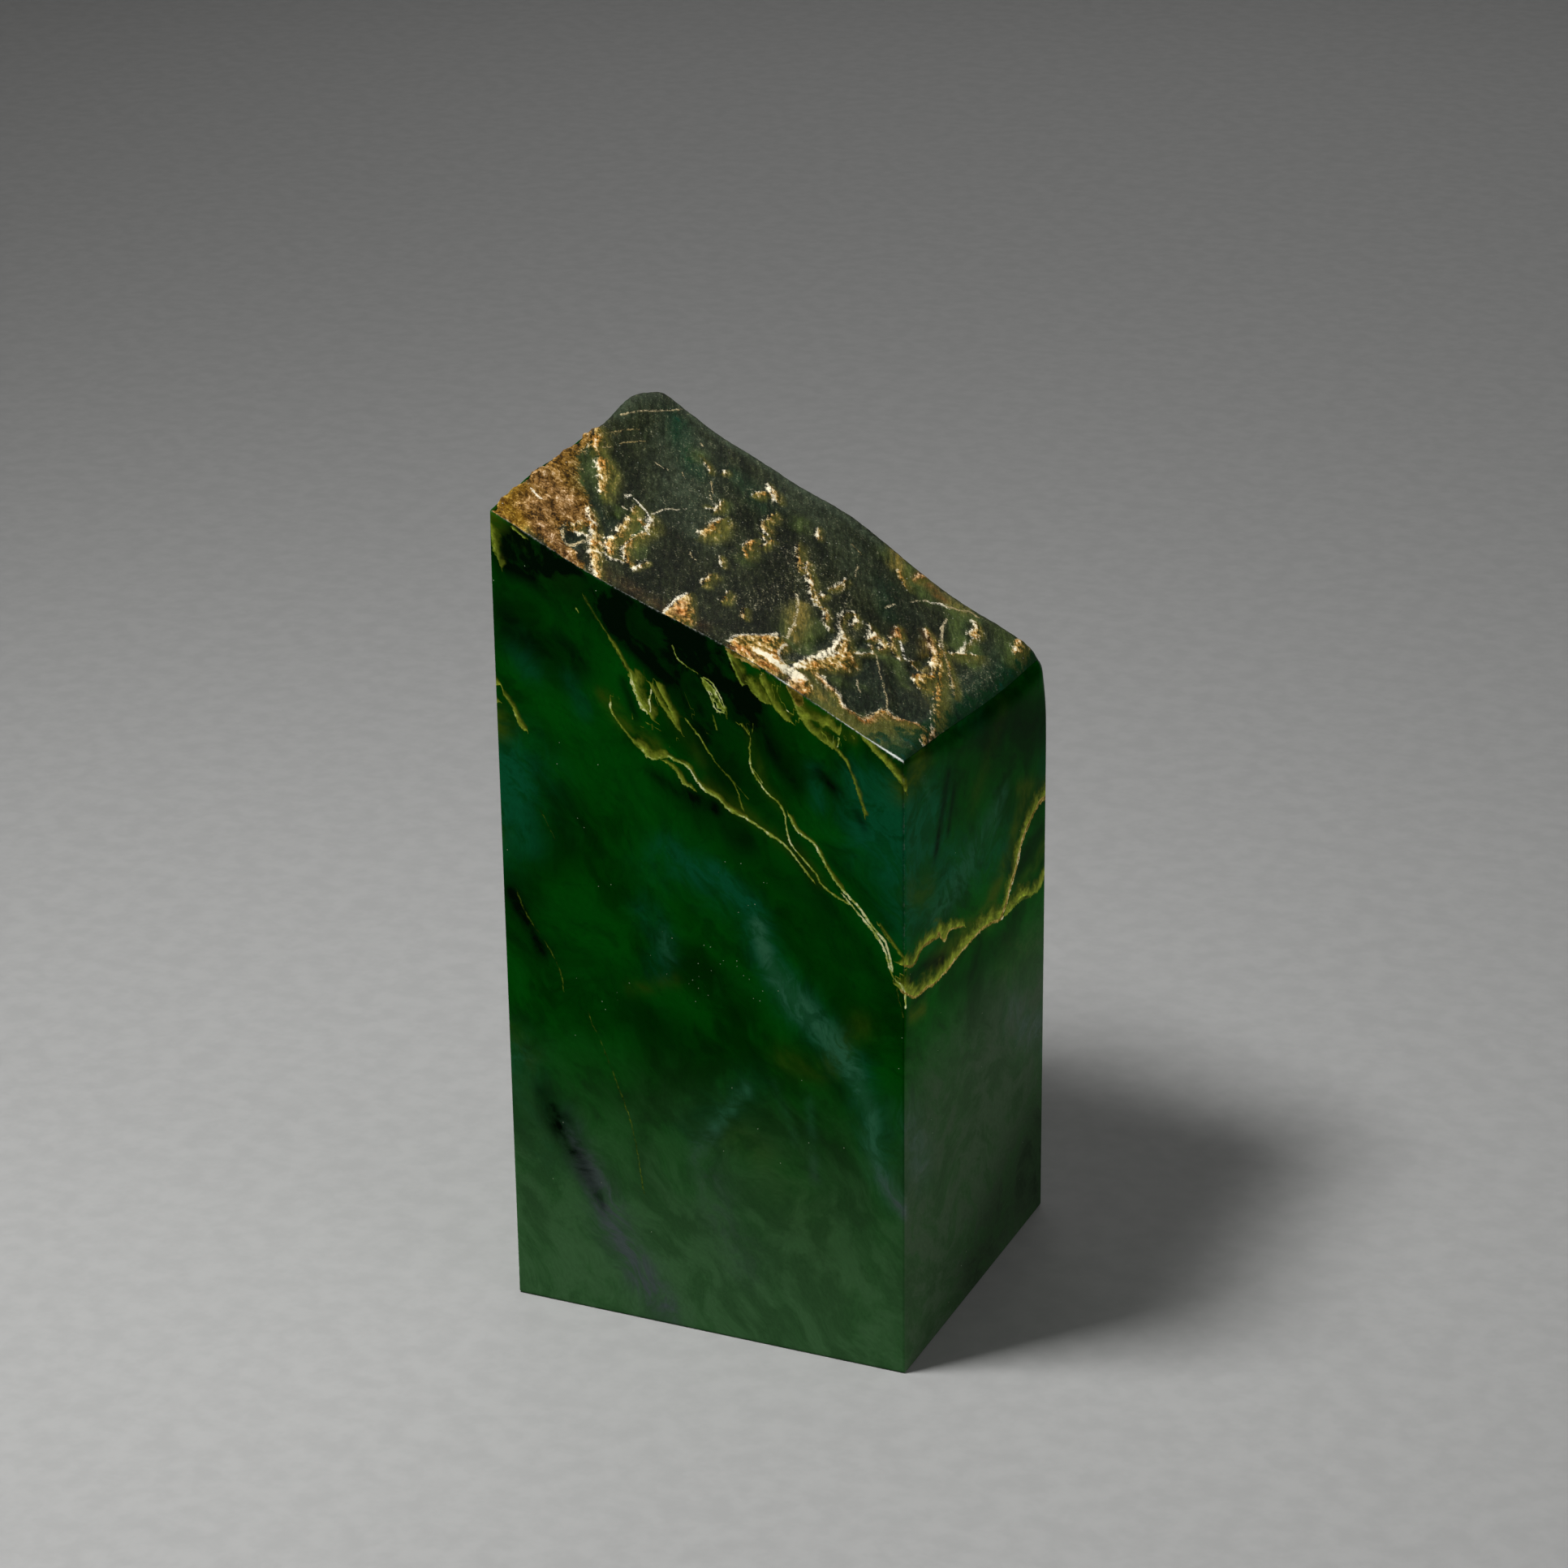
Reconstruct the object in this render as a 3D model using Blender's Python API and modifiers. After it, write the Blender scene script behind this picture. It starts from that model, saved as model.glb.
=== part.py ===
"""A tall block of green jade: four flat polished sides, a flat base, and a slanting natural top.

Units are metres and +Z is up. The origin is on the base, at the middle of the block. The wide front face
looks along -Y. The top falls towards +X, where its edge with the right face is worn round.
"""

import math

import bmesh
import bpy

# Driving dimensions
WIDTH = 0.148
DEPTH = 0.132
HEIGHT = 0.300

# Heights of the top's four corners before the edges are rounded, as shares of HEIGHT
FRONT_LEFT = 0.976
FRONT_RIGHT = 0.764
BACK_RIGHT = 0.714
BACK_LEFT = 0.994

# Widths of the roundings
POLISHED_EDGE = 0.0011
FOOT_EDGE = 0.0008
FRONT_TOP_EDGE = 0.0014
LEFT_TOP_EDGE = 0.0032
BACK_TOP_EDGE = 0.0045
RIGHT_TOP_EDGE = 0.0090
ROUNDING_SEGMENTS = 4

# Broad swells of the natural skin. Each has its place across the width and along the depth, from -1 to 1,
# its reach in each direction on the same scale, and its rise.
SWELLS = (
    (0.25, -1.00, 0.45, 0.55, 0.0032),
    (0.06, 1.00, 0.26, 0.50, 0.0032),
    (0.88, 1.00, 0.22, 0.35, 0.0026),
    (-0.72, 1.00, 0.20, 0.22, -0.0016),
    (-1.00, -0.50, 0.25, 0.50, 0.0040),
    (-1.00, 0.12, 0.18, 0.20, 0.0017),
    (-1.00, 0.62, 0.16, 0.26, 0.0044),
    (-0.35, -0.10, 0.30, 0.45, -0.0014),
    (0.55, 0.10, 0.30, 0.40, -0.0020),
)

# The worn corner at the back left
WORN_CORNER_REACH = 0.012
WORN_CORNER_DROP = 0.0040

GRID_STEP = 0.0105
SWELL_FADE = 0.055

JADE_COLOUR = (0.006, 0.070, 0.018, 1.0)
JADE_ROUGHNESS = 0.18


def clear_scene():
    for obj in list(bpy.data.objects):
        bpy.data.objects.remove(obj, do_unlink=True)


def jade_material():
    material = bpy.data.materials.new("jade")
    material.use_nodes = True
    shader = material.node_tree.nodes["Principled BSDF"]
    shader.inputs["Base Color"].default_value = JADE_COLOUR
    shader.inputs["Roughness"].default_value = JADE_ROUGHNESS
    shader.inputs["Metallic"].default_value = 0.0
    return material


def corner_height(x, y):
    """The height of the sharp corner over this side of the block."""
    if y < 0:
        return HEIGHT * (FRONT_LEFT if x < 0 else FRONT_RIGHT)
    return HEIGHT * (BACK_LEFT if x < 0 else BACK_RIGHT)


def sawn_block():
    """The block with sharp edges: a cube stretched to size, with each top corner at its own height."""
    mesh = bmesh.new()
    bmesh.ops.create_cube(mesh, size=1.0)
    for vertex in mesh.verts:
        is_top = vertex.co.z > 0
        vertex.co.x *= WIDTH
        vertex.co.y *= DEPTH
        vertex.co.z = corner_height(vertex.co.x, vertex.co.y) if is_top else 0.0
    return mesh


def rounding_of(edge):
    """How far the rounding of this sharp edge reaches, from where the edge lies on the block."""
    first, second = (vertex.co for vertex in edge.verts)
    middle = (first + second) / 2
    if abs(first.x - second.x) < GRID_STEP and abs(first.y - second.y) < GRID_STEP:
        return POLISHED_EDGE
    if middle.z < HEIGHT / 4:
        return FOOT_EDGE
    if abs(first.x - second.x) > GRID_STEP:
        return FRONT_TOP_EDGE if middle.y < 0 else BACK_TOP_EDGE
    return LEFT_TOP_EDGE if middle.x < 0 else RIGHT_TOP_EDGE


def weigh_edges(mesh):
    """Gives each edge its share of the widest rounding, which a Bevel modifier then reads."""
    weights = mesh.edges.layers.float.new("bevel_weight_edge")
    for edge in mesh.edges:
        edge[weights] = rounding_of(edge) / RIGHT_TOP_EDGE


def rounded_mesh(sharp):
    """The sharp block with all twelve edges rounded."""
    data = bpy.data.meshes.new("sawn_block")
    sharp.to_mesh(data)
    helper = bpy.data.objects.new("sawn_block", data)
    bpy.context.scene.collection.objects.link(helper)
    bevel = helper.modifiers.new("rounding", "BEVEL")
    bevel.limit_method = "WEIGHT"
    bevel.width = RIGHT_TOP_EDGE
    bevel.segments = ROUNDING_SEGMENTS
    bevel.use_clamp_overlap = False
    graph = bpy.context.evaluated_depsgraph_get()
    rounded = bmesh.new()
    rounded.from_object(helper, graph)
    bpy.data.objects.remove(helper, do_unlink=True)
    bpy.data.meshes.remove(data)
    return rounded


def cut_across(mesh, axis, low, high):
    """Cuts every face on evenly spaced planes across one axis, so that the skin can follow its swells."""
    count = round((high - low) / GRID_STEP)
    for step in range(1, count):
        place = [0.0, 0.0, 0.0]
        normal = [0.0, 0.0, 0.0]
        place[axis] = low + (high - low) * step / count
        normal[axis] = 1.0
        everything = mesh.verts[:] + mesh.edges[:] + mesh.faces[:]
        bmesh.ops.bisect_plane(mesh, geom=everything, plane_co=place, plane_no=normal)


def swell(x, y):
    """How far the natural skin stands above the straight slope between the corners."""
    across = x / (WIDTH / 2)
    along = y / (DEPTH / 2)
    rise = 0.0
    for place_x, place_y, reach_x, reach_y, height in SWELLS:
        distance = ((across - place_x) / reach_x) ** 2 + ((along - place_y) / reach_y) ** 2
        rise += height * math.exp(-distance)
    from_corner = math.hypot(x + WIDTH / 2, y - DEPTH / 2)
    worn = max(0.0, 1.0 - from_corner / WORN_CORNER_REACH)
    return rise - WORN_CORNER_DROP * worn * worn


def slope_height(x, y):
    """The straight slope between the four corners."""
    across = x / WIDTH + 0.5
    along = y / DEPTH + 0.5
    front = FRONT_LEFT + (FRONT_RIGHT - FRONT_LEFT) * across
    back = BACK_LEFT + (BACK_RIGHT - BACK_LEFT) * across
    return HEIGHT * (front + (back - front) * along)


def shape_top(mesh):
    """Lifts and lowers the upper part of the block by the swells, which fade out down the polished sides."""
    for vertex in mesh.verts:
        x, y, z = vertex.co
        below = slope_height(x, y) - z
        share = min(1.0, max(0.0, 1.0 - below / SWELL_FADE))
        vertex.co.z += swell(x, y) * share * share * (3 - 2 * share)


def jade_block(collection):
    mesh = rounded_mesh_of_block()
    cut_across(mesh, 0, -WIDTH / 2, WIDTH / 2)
    cut_across(mesh, 1, -DEPTH / 2, DEPTH / 2)
    cut_across(mesh, 2, HEIGHT / 2, HEIGHT)
    shape_top(mesh)
    bmesh.ops.triangulate(mesh, faces=mesh.faces[:])
    bmesh.ops.recalc_face_normals(mesh, faces=mesh.faces[:])
    data = bpy.data.meshes.new("jade_block")
    mesh.to_mesh(data)
    mesh.free()
    block = bpy.data.objects.new("jade_block", data)
    block.data.materials.append(jade_material())
    collection.objects.link(block)
    return block


def rounded_mesh_of_block():
    sharp = sawn_block()
    weigh_edges(sharp)
    rounded = rounded_mesh(sharp)
    sharp.free()
    return rounded


def main():
    clear_scene()
    collection = bpy.data.collections.new("jade_block")
    bpy.context.scene.collection.children.link(collection)
    jade_block(collection)


main()
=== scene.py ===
"""The looks of the jade block: polished green sides with clouds and veins, and a natural top with its crust.

Every place on the block is given in millimetres of the block as it is packed. A place on the top is (x, y).
A place on the four polished sides is (along, z): along runs round the block from the middle of the front
face, through the right face and the back, and the other way over the left face.
"""

import math
from types import SimpleNamespace

import bpy
import numpy as np
from mathutils import Matrix, Vector, noise


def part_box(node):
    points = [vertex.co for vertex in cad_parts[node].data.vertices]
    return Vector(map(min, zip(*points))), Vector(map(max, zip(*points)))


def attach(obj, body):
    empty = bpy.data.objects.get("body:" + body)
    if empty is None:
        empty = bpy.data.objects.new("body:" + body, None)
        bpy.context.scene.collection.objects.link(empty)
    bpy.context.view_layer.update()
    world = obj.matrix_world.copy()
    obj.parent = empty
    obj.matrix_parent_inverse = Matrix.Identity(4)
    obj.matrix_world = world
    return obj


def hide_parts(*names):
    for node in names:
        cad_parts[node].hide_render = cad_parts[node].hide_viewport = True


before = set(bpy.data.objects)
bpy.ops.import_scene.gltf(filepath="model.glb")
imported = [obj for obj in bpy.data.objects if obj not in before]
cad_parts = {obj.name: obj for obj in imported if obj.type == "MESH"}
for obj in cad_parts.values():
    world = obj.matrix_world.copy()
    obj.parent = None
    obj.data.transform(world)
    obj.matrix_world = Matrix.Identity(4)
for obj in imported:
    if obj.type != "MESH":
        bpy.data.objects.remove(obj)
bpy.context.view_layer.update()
LOW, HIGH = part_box("jade_block")

# The block, in its own millimetres
WIDE = 148.0
MM = (HIGH.x - LOW.x) / WIDE
DEEP = (HIGH.y - LOW.y) / MM
TALL = (HIGH.z - LOW.z) / MM
HALF_WIDE = WIDE / 2
HALF_DEEP = DEEP / 2

# The slope of the top, close to the CAD's: corner heights as shares of the height, and broad swells, each
# with its place across and along (-1 to 1), its reach on the same scale, and its rise in millimetres
FRONT_LEFT = 0.976
FRONT_RIGHT = 0.757
BACK_RIGHT = 0.714
BACK_LEFT = 0.994
SWELLS = (
    (0.25, -1.00, 0.45, 0.55, 3.2),
    (0.06, 1.00, 0.26, 0.50, 3.2),
    (0.88, 1.00, 0.22, 0.35, 2.6),
    (-0.72, 1.00, 0.20, 0.22, -1.6),
    (-1.00, -0.50, 0.25, 0.50, 4.0),
    (-1.00, 0.12, 0.18, 0.20, 1.7),
    (-1.00, 0.62, 0.16, 0.26, 4.4),
    (-0.35, -0.10, 0.30, 0.45, -1.4),
    (0.55, 0.10, 0.30, 0.40, -2.0),
)

# Radii of the edges and of two corners of the top. The right edge of the top is rounder where it is worn, and
# the wear sets in between two places along it. Near a corner the radii blend over the reach.
FRONT_EDGE = 1.0
BACK_EDGE = 1.2
FOOT_EDGE = 0.8
FRONT_TOP_EDGE = 1.3
LEFT_TOP_EDGE = 3.0
BACK_TOP_EDGE = 4.5
RIGHT_TOP_EDGE = 4.0
RIGHT_TOP_WEAR = 5.0
WEAR_STARTS = -60.0
WEAR_FULL = -25.0
BACK_LEFT_CORNER = 16.0
BACK_RIGHT_CORNER = 14.0
BLEND_REACH = 6.0

# Mesh spacing: rows near the top's edges, down from the top, up from the foot, and round the base. The rows
# down the sides are spaced for the mean height, and stretched where the block is taller or lower.
TOP_STEP = 0.93
EDGE_LINES = (0.0, 0.3, 0.6, 1.0, 1.5, 2.2)
TOP_ROWS = EDGE_LINES + (3.0, 4.0, 5.2, 6.6, 8.2, 10.0)
FOOT_ROWS = (0.0, 0.3, 0.6, 1.0, 1.8, 3.2)
BASE_INSETS = (0.5, 1.2)
FINE_ROW = 1.95
COARSE_ROW = 4.6
FINE_DEPTH = 150.0
MEAN_HEIGHT = 258.0

# The relief of the top, from broad bumps to fine grain: their size, a shift that sets them apart from the
# others, and their height on plain skin, more on the rind and more on the crusts
BUMPS = (
    (24.0, (0, 0, 0), 0.45, 0.0, 0.0),
    (7.0, (9, 4, 2), 0.11, 0.22, 0.0),
    (2.2, (3, 7, 5), 0.14, 0.55, 0.34),
    (1.3, (6, 1, 8), 0.08, 0.30, 0.26),
)

# The rind also has sharp crags and, at the left edge, knobs: a size, a shift and a height
CRAGS = (4.2, (1, 5, 9), 1.2)
KNOBS = (6.0, (5, 5, 1), 2.4)
KNOB_RISE = 0.5
KNOB_STRIP = 8
RIND_DROP = 0.35
CRUST_RISE = 0.28
HOLLOW_DROP = 0.8

# The painted highlight along the front edge of the top: all along, at one brighter spot, and in two stretches
# further to the right; and the painted highlight down the front right corner, between two depths
FRONT_EDGE_HIGHLIGHT = 0.20
HIGHLIGHT_PEAK = 0.45
HIGHLIGHT_PEAK_PLACE = 31
HIGHLIGHT_PEAK_REACH = 2.5
HIGHLIGHT_STRETCHES = ((0.35, 38, 56), (0.45, 60, 68))
CORNER_HIGHLIGHT = 0.12
CORNER_HIGHLIGHT_DEPTHS = (90, 60)

# The painted reflection of the pale floor, a haze low in the sides: its share, and the heights between which
# it sets in
FRONT_REFLECTION_SHARE = 0.88
FRONT_REFLECTION_HEIGHTS = (118, 8)
RIGHT_REFLECTION_SHARE = 0.9
RIGHT_REFLECTION_HEIGHTS = (134, 84)

# Painted light: how much paler each side is painted than the front: the right face low and high, the heights
# between, and the others; and the painted shade where the sides turn up to the top
RIGHT_FACE_LIGHT = (1.3, 0.9)
RIGHT_FACE_LIGHT_HEIGHTS = (140, 180)
BACK_LEFT_FACE_LIGHT = 0.5
TILT_PAINTED_SHADE = 0.25

# How near a place must be to a route for its mark to count there. A cloud's margin is in its half widths.
LINE_MARGIN = 9.0
PATCH_MARGIN = 14.0
CLOUD_MARGIN = 3.2

# What a place holds where no mark lies: a line's distance, its half width while the lines are compared and
# afterwards, and the depth inside a patch
LINE_AWAY = 60.0
NO_LINE = -200.0
NO_WIDTH = -3.0
NO_PATCH = -8.0

# Past an end of its route a line and its glow narrow this many times as fast as the place moves away. A place
# is clear of a line or a glow beyond so many half widths or reaches and the gap.
LINE_TAPER = 3.0
GLOW_TAPER = 1.5
LINE_SPREAD = 2.0
GLOW_SPREAD = 1.8
CLEAR_GAP = 2.5


# ---------------------------------------------------------------- shape

def skin_height(x, y):
    """The height of the top over a place, before its fine relief."""
    across = x / WIDE + 0.5
    along = y / DEEP + 0.5
    front = FRONT_LEFT + (FRONT_RIGHT - FRONT_LEFT) * across
    back = BACK_LEFT + (BACK_RIGHT - BACK_LEFT) * across
    height = TALL * (front + (back - front) * along)
    for place_x, place_y, reach_x, reach_y, rise in SWELLS:
        away_x = (x / HALF_WIDE - place_x) / reach_x
        away_y = (y / HALF_DEEP - place_y) / reach_y
        height = height + rise * np.exp(-(away_x ** 2 + away_y ** 2))
    return height


def grid_lines(length):
    """Places across one side, closer together near both ends."""
    edge = np.array(EDGE_LINES)
    inner = length / 2 - edge[-1]
    count = round(2 * inner / TOP_STEP)
    middle = np.linspace(-inner, inner, count + 1)
    return np.concatenate([edge[:-1] - length / 2, middle, (length / 2 - edge[:-1])[::-1]])


def row_depths():
    """How far each row of the sides lies below the top, where the block has its mean height."""
    rows = list(TOP_ROWS)
    while rows[-1] < FINE_DEPTH:
        rows.append(rows[-1] + FINE_ROW)
    foot = MEAN_HEIGHT - FOOT_ROWS[-1]
    count = round((foot - rows[-1]) / COARSE_ROW)
    rows += list(np.linspace(rows[-1], foot, count + 1)[1:])
    rows += [MEAN_HEIGHT - up for up in FOOT_ROWS[-2::-1]]
    return np.array(rows)


def smooth(value, low, high):
    """0 at low, 1 at high, and smooth between."""
    share = np.clip((value - low) / (high - low), 0, 1)
    return share * share * (3 - 2 * share)


def rounding(x, y, depth, height):
    """The radius of the edges near each place of the sharp block."""
    left, right = x + HALF_WIDE, HALF_WIDE - x
    front, back = y + HALF_DEEP, HALF_DEEP - y
    side = np.minimum(np.minimum(left, right), np.minimum(front, back))
    edges = (
        (np.hypot(left, front), FRONT_EDGE),
        (np.hypot(right, front), FRONT_EDGE),
        (np.hypot(right, back), BACK_EDGE),
        (np.hypot(left, back), BACK_EDGE),
        (np.hypot(front, depth), FRONT_TOP_EDGE),
        (np.hypot(left, depth), LEFT_TOP_EDGE),
        (np.hypot(back, depth), BACK_TOP_EDGE),
        (np.hypot(right, depth), RIGHT_TOP_EDGE + RIGHT_TOP_WEAR * smooth(y, WEAR_STARTS, WEAR_FULL)),
        (np.sqrt(left ** 2 + back ** 2 + depth ** 2), BACK_LEFT_CORNER),
        (np.sqrt(right ** 2 + back ** 2 + depth ** 2), BACK_RIGHT_CORNER),
        (side + (height - depth), FOOT_EDGE),
    )
    total = 0.0
    weights = 1e-9
    for distance, radius in edges:
        weight = np.exp(-distance / BLEND_REACH)
        total = total + weight * radius
        weights = weights + weight
    return total / weights


def rounded(x, y, depth):
    """The place on the rounded block for a place on the sharp block, and the way the surface faces there."""
    height = skin_height(x, y)
    radius = rounding(x, y, depth, height)
    core_x = np.clip(x, radius - HALF_WIDE, HALF_WIDE - radius)
    core_y = np.clip(y, radius - HALF_DEEP, HALF_DEEP - radius)
    core_depth = np.clip(depth, radius, height - radius)
    way = np.stack([x - core_x, y - core_y, core_depth - depth], -1)
    way /= np.maximum(np.linalg.norm(way, axis=-1, keepdims=True), 1e-9)
    new_x = core_x + radius * way[:, 0]
    new_y = core_y + radius * way[:, 1]
    new_depth = core_depth - radius * way[:, 2]
    level = skin_height(new_x, new_y)
    share = new_depth / np.maximum(height, 1)
    z = (level - new_depth) * (1 - share) + (height - new_depth) * share
    return np.stack([new_x, new_y, z], -1), way


def block_places():
    """Every vertex of the block as a place on the sharp block, the faces that join them, the vertices round
    the base, and how many of the vertices lie on the top. A place is x, y and the depth below the top."""
    across, along = grid_lines(WIDE), grid_lines(DEEP)
    top_count = len(across) * len(along)
    top_x, top_y = (grid.ravel() for grid in np.meshgrid(across, along))
    index = np.arange(top_count).reshape(len(along), len(across))
    corners = index[:-1, :-1], index[:-1, 1:], index[1:, 1:], index[1:, :-1]
    faces = [np.stack([corner.ravel() for corner in corners], -1)]
    rim = np.concatenate([index[0, :-1], index[:-1, -1], index[-1, :0:-1], index[:0:-1, 0]])
    rim_x, rim_y = top_x[rim], top_y[rim]
    stretch = skin_height(rim_x, rim_y) - MEAN_HEIGHT
    depths = row_depths()
    shares = smooth(depths, TOP_ROWS[-1], MEAN_HEIGHT - FOOT_ROWS[-1])
    rows = [(rim_x, rim_y, depth + stretch * share) for depth, share in zip(depths[1:], shares[1:])]
    for inset in BASE_INSETS:
        inner_x, inner_y = rim_x * (1 - inset / HALF_WIDE), rim_y * (1 - inset / HALF_DEEP)
        rows.append((inner_x, inner_y, skin_height(inner_x, inner_y)))
    above = rim
    for number in range(len(rows)):
        row = top_count + number * len(rim) + np.arange(len(rim))
        faces.append(np.stack([above, row, np.roll(row, -1), np.roll(above, -1)], -1))
        above = row
    rows.insert(0, (top_x, top_y, np.zeros(top_count)))
    return [np.concatenate(column) for column in zip(*rows)], np.concatenate(faces), above, top_count


# ---------------------------------------------------------------- marks

def curve_through(points):
    """A smooth line through the points, as a dense row of points. Every column is smoothed alike."""
    points = np.array(points, float)
    if len(points) < 3:
        return points
    padded = np.concatenate([[2 * points[0] - points[1]], points, [2 * points[-1] - points[-2]]])
    steps = np.linspace(0, 1, 4, endpoint=False)[:, None]
    dense = []
    for before, start, end, after in zip(padded, padded[1:], padded[2:], padded[3:]):
        dense.append(0.5 * (2 * start + (end - before) * steps
                            + (2 * before - 5 * start + 4 * end - after) * steps ** 2
                            + (3 * start - before - 3 * end + after) * steps ** 3))
    return np.concatenate(dense + [points[-1:]])


def widened(half, route):
    """The route as rows of a place and its half width. Several half widths are spread evenly over it."""
    halves = np.atleast_1d(half)
    widths = np.interp(np.linspace(0, 1, len(route)), np.linspace(0, 1, len(halves)), halves)
    return np.column_stack([route, widths])


def along_route(px, py, route):
    """Each place's signed distance from the route, the half width there, and how far it is past an end."""
    line = curve_through(route)
    best = np.full(len(px), np.inf)
    signed, width, past = np.zeros(len(px)), np.zeros(len(px)), np.zeros(len(px))
    last = len(line) - 2
    for number, (start, end) in enumerate(zip(line, line[1:])):
        way = end[:2] - start[:2]
        length = max(float(np.hypot(*way)), 1e-6)
        way = way / length
        from_x, from_y = px - start[0], py - start[1]
        run = from_x * way[0] + from_y * way[1]
        side = from_y * way[0] - from_x * way[1]
        held = np.clip(run, 0, length)
        distance = np.hypot(run - held, side)
        closer = distance < best
        best = np.where(closer, distance, best)
        signed = np.where(closer, np.where(side < 0, -distance, distance), signed)
        width = np.where(closer, start[2] + (end[2] - start[2]) * held / length, width)
        beyond = np.zeros(len(px))
        if number == 0:
            beyond = np.maximum(beyond, -run)
        if number == last:
            beyond = np.maximum(beyond, run - length)
        past = np.where(closer, beyond, past)
    return signed, width, past


def beside(px, py, half, places, margin):
    """The numbers of the places that lie near a mark's route, and what along_route says of them."""
    route = widened(half, places)
    low, high = route.min(0)[:2] - margin, route.max(0)[:2] + margin
    found = np.nonzero((px > low[0]) & (px < high[0]) & (py > low[1]) & (py < high[1]))[0]
    return found, *along_route(px[found], py[found], route)


def no_lines(count):
    """A layer of lines before any is drawn: at each place a distance, a half width, a tone and a glow."""
    return np.tile((LINE_AWAY, NO_LINE, 0.0, 0.0), (count, 1))


def line_layer(px, py, marks):
    """One layer of lines: each place's signed distance, half width and tone, and the reach of the glow."""
    layer = no_lines(len(px))
    for tone, reach, half, places in marks:
        found, signed, width, past = beside(px, py, half, places, LINE_MARGIN)
        glow = np.maximum(reach * np.minimum(width / np.mean(half), 1.0) - GLOW_TAPER * past, 0)
        width = width - LINE_TAPER * past
        held = layer[found]
        deeper = width - np.abs(signed) > held[:, 1] - np.abs(held[:, 0])
        kept = (np.abs(signed) < LINE_MARGIN) & deeper
        tones = np.full(len(found), tone)
        layer[found[kept]] = np.column_stack([signed, width, tones, glow])[kept]
    signed, width, _, glow = layer.T
    layer[np.abs(signed) > LINE_SPREAD * width + CLEAR_GAP, 1] = NO_WIDTH
    layer[(signed < -CLEAR_GAP) | (signed > GLOW_SPREAD * glow + CLEAR_GAP), 3] = 0.0
    return layer


def patches(px, py, marks):
    """How far inside the nearest patch each place lies, below zero outside, that patch's tone, and which side
    of its middle the place is on, from -1 to 1. The fade stretches the patch out on the side above zero."""
    inside, tones, sides = np.full(len(px), NO_PATCH), np.zeros(len(px)), np.zeros(len(px))
    for tone, fade, half, places in marks:
        found, signed, width, _ = beside(px, py, half, places, PATCH_MARGIN)
        stretched = np.where(signed > 0, signed / (1 + fade), -signed)
        depth = np.maximum(width - stretched, NO_PATCH)
        kept = depth > inside[found]
        inside[found[kept]] = depth[kept]
        tones[found[kept]] = tone
        sides[found[kept]] = np.clip(signed / np.maximum(width, 0.3), -1, 1 + fade)[kept]
    return inside, tones, sides


def clouds(px, py, marks):
    """The sum of soft strokes, each fading out from its route over its width."""
    total = np.zeros(len(px))
    for strength, half, places in marks:
        found, signed, width, _ = beside(px, py, half, places, CLOUD_MARGIN * np.max(half))
        total[found] += strength * np.exp(-(signed / np.maximum(width, 0.5)) ** 2)
    return np.clip(total, -1.0, 1.0)


def around(*faces):
    """The marks of the front, the right face, the back and the left face, moved to their places round the
    block. They are given as (x, z) on the front and the back, and as (y, z) on the right and left faces."""
    moves = (
        lambda x: x,
        lambda y: y + HALF_WIDE + HALF_DEEP,
        lambda x: 2 * HALF_WIDE + DEEP - x,
        lambda y: -y - HALF_WIDE - HALF_DEEP,
    )
    moved = []
    for move, marks in zip(moves, faces):
        for *values, route in marks:
            moved.append((*values, [(move(first), z) for first, z in route]))
    return moved


def through(front, right):
    """The marks of the front and the right face, which run through the block to the faces across it."""
    return around(front, right, front, right)


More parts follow.
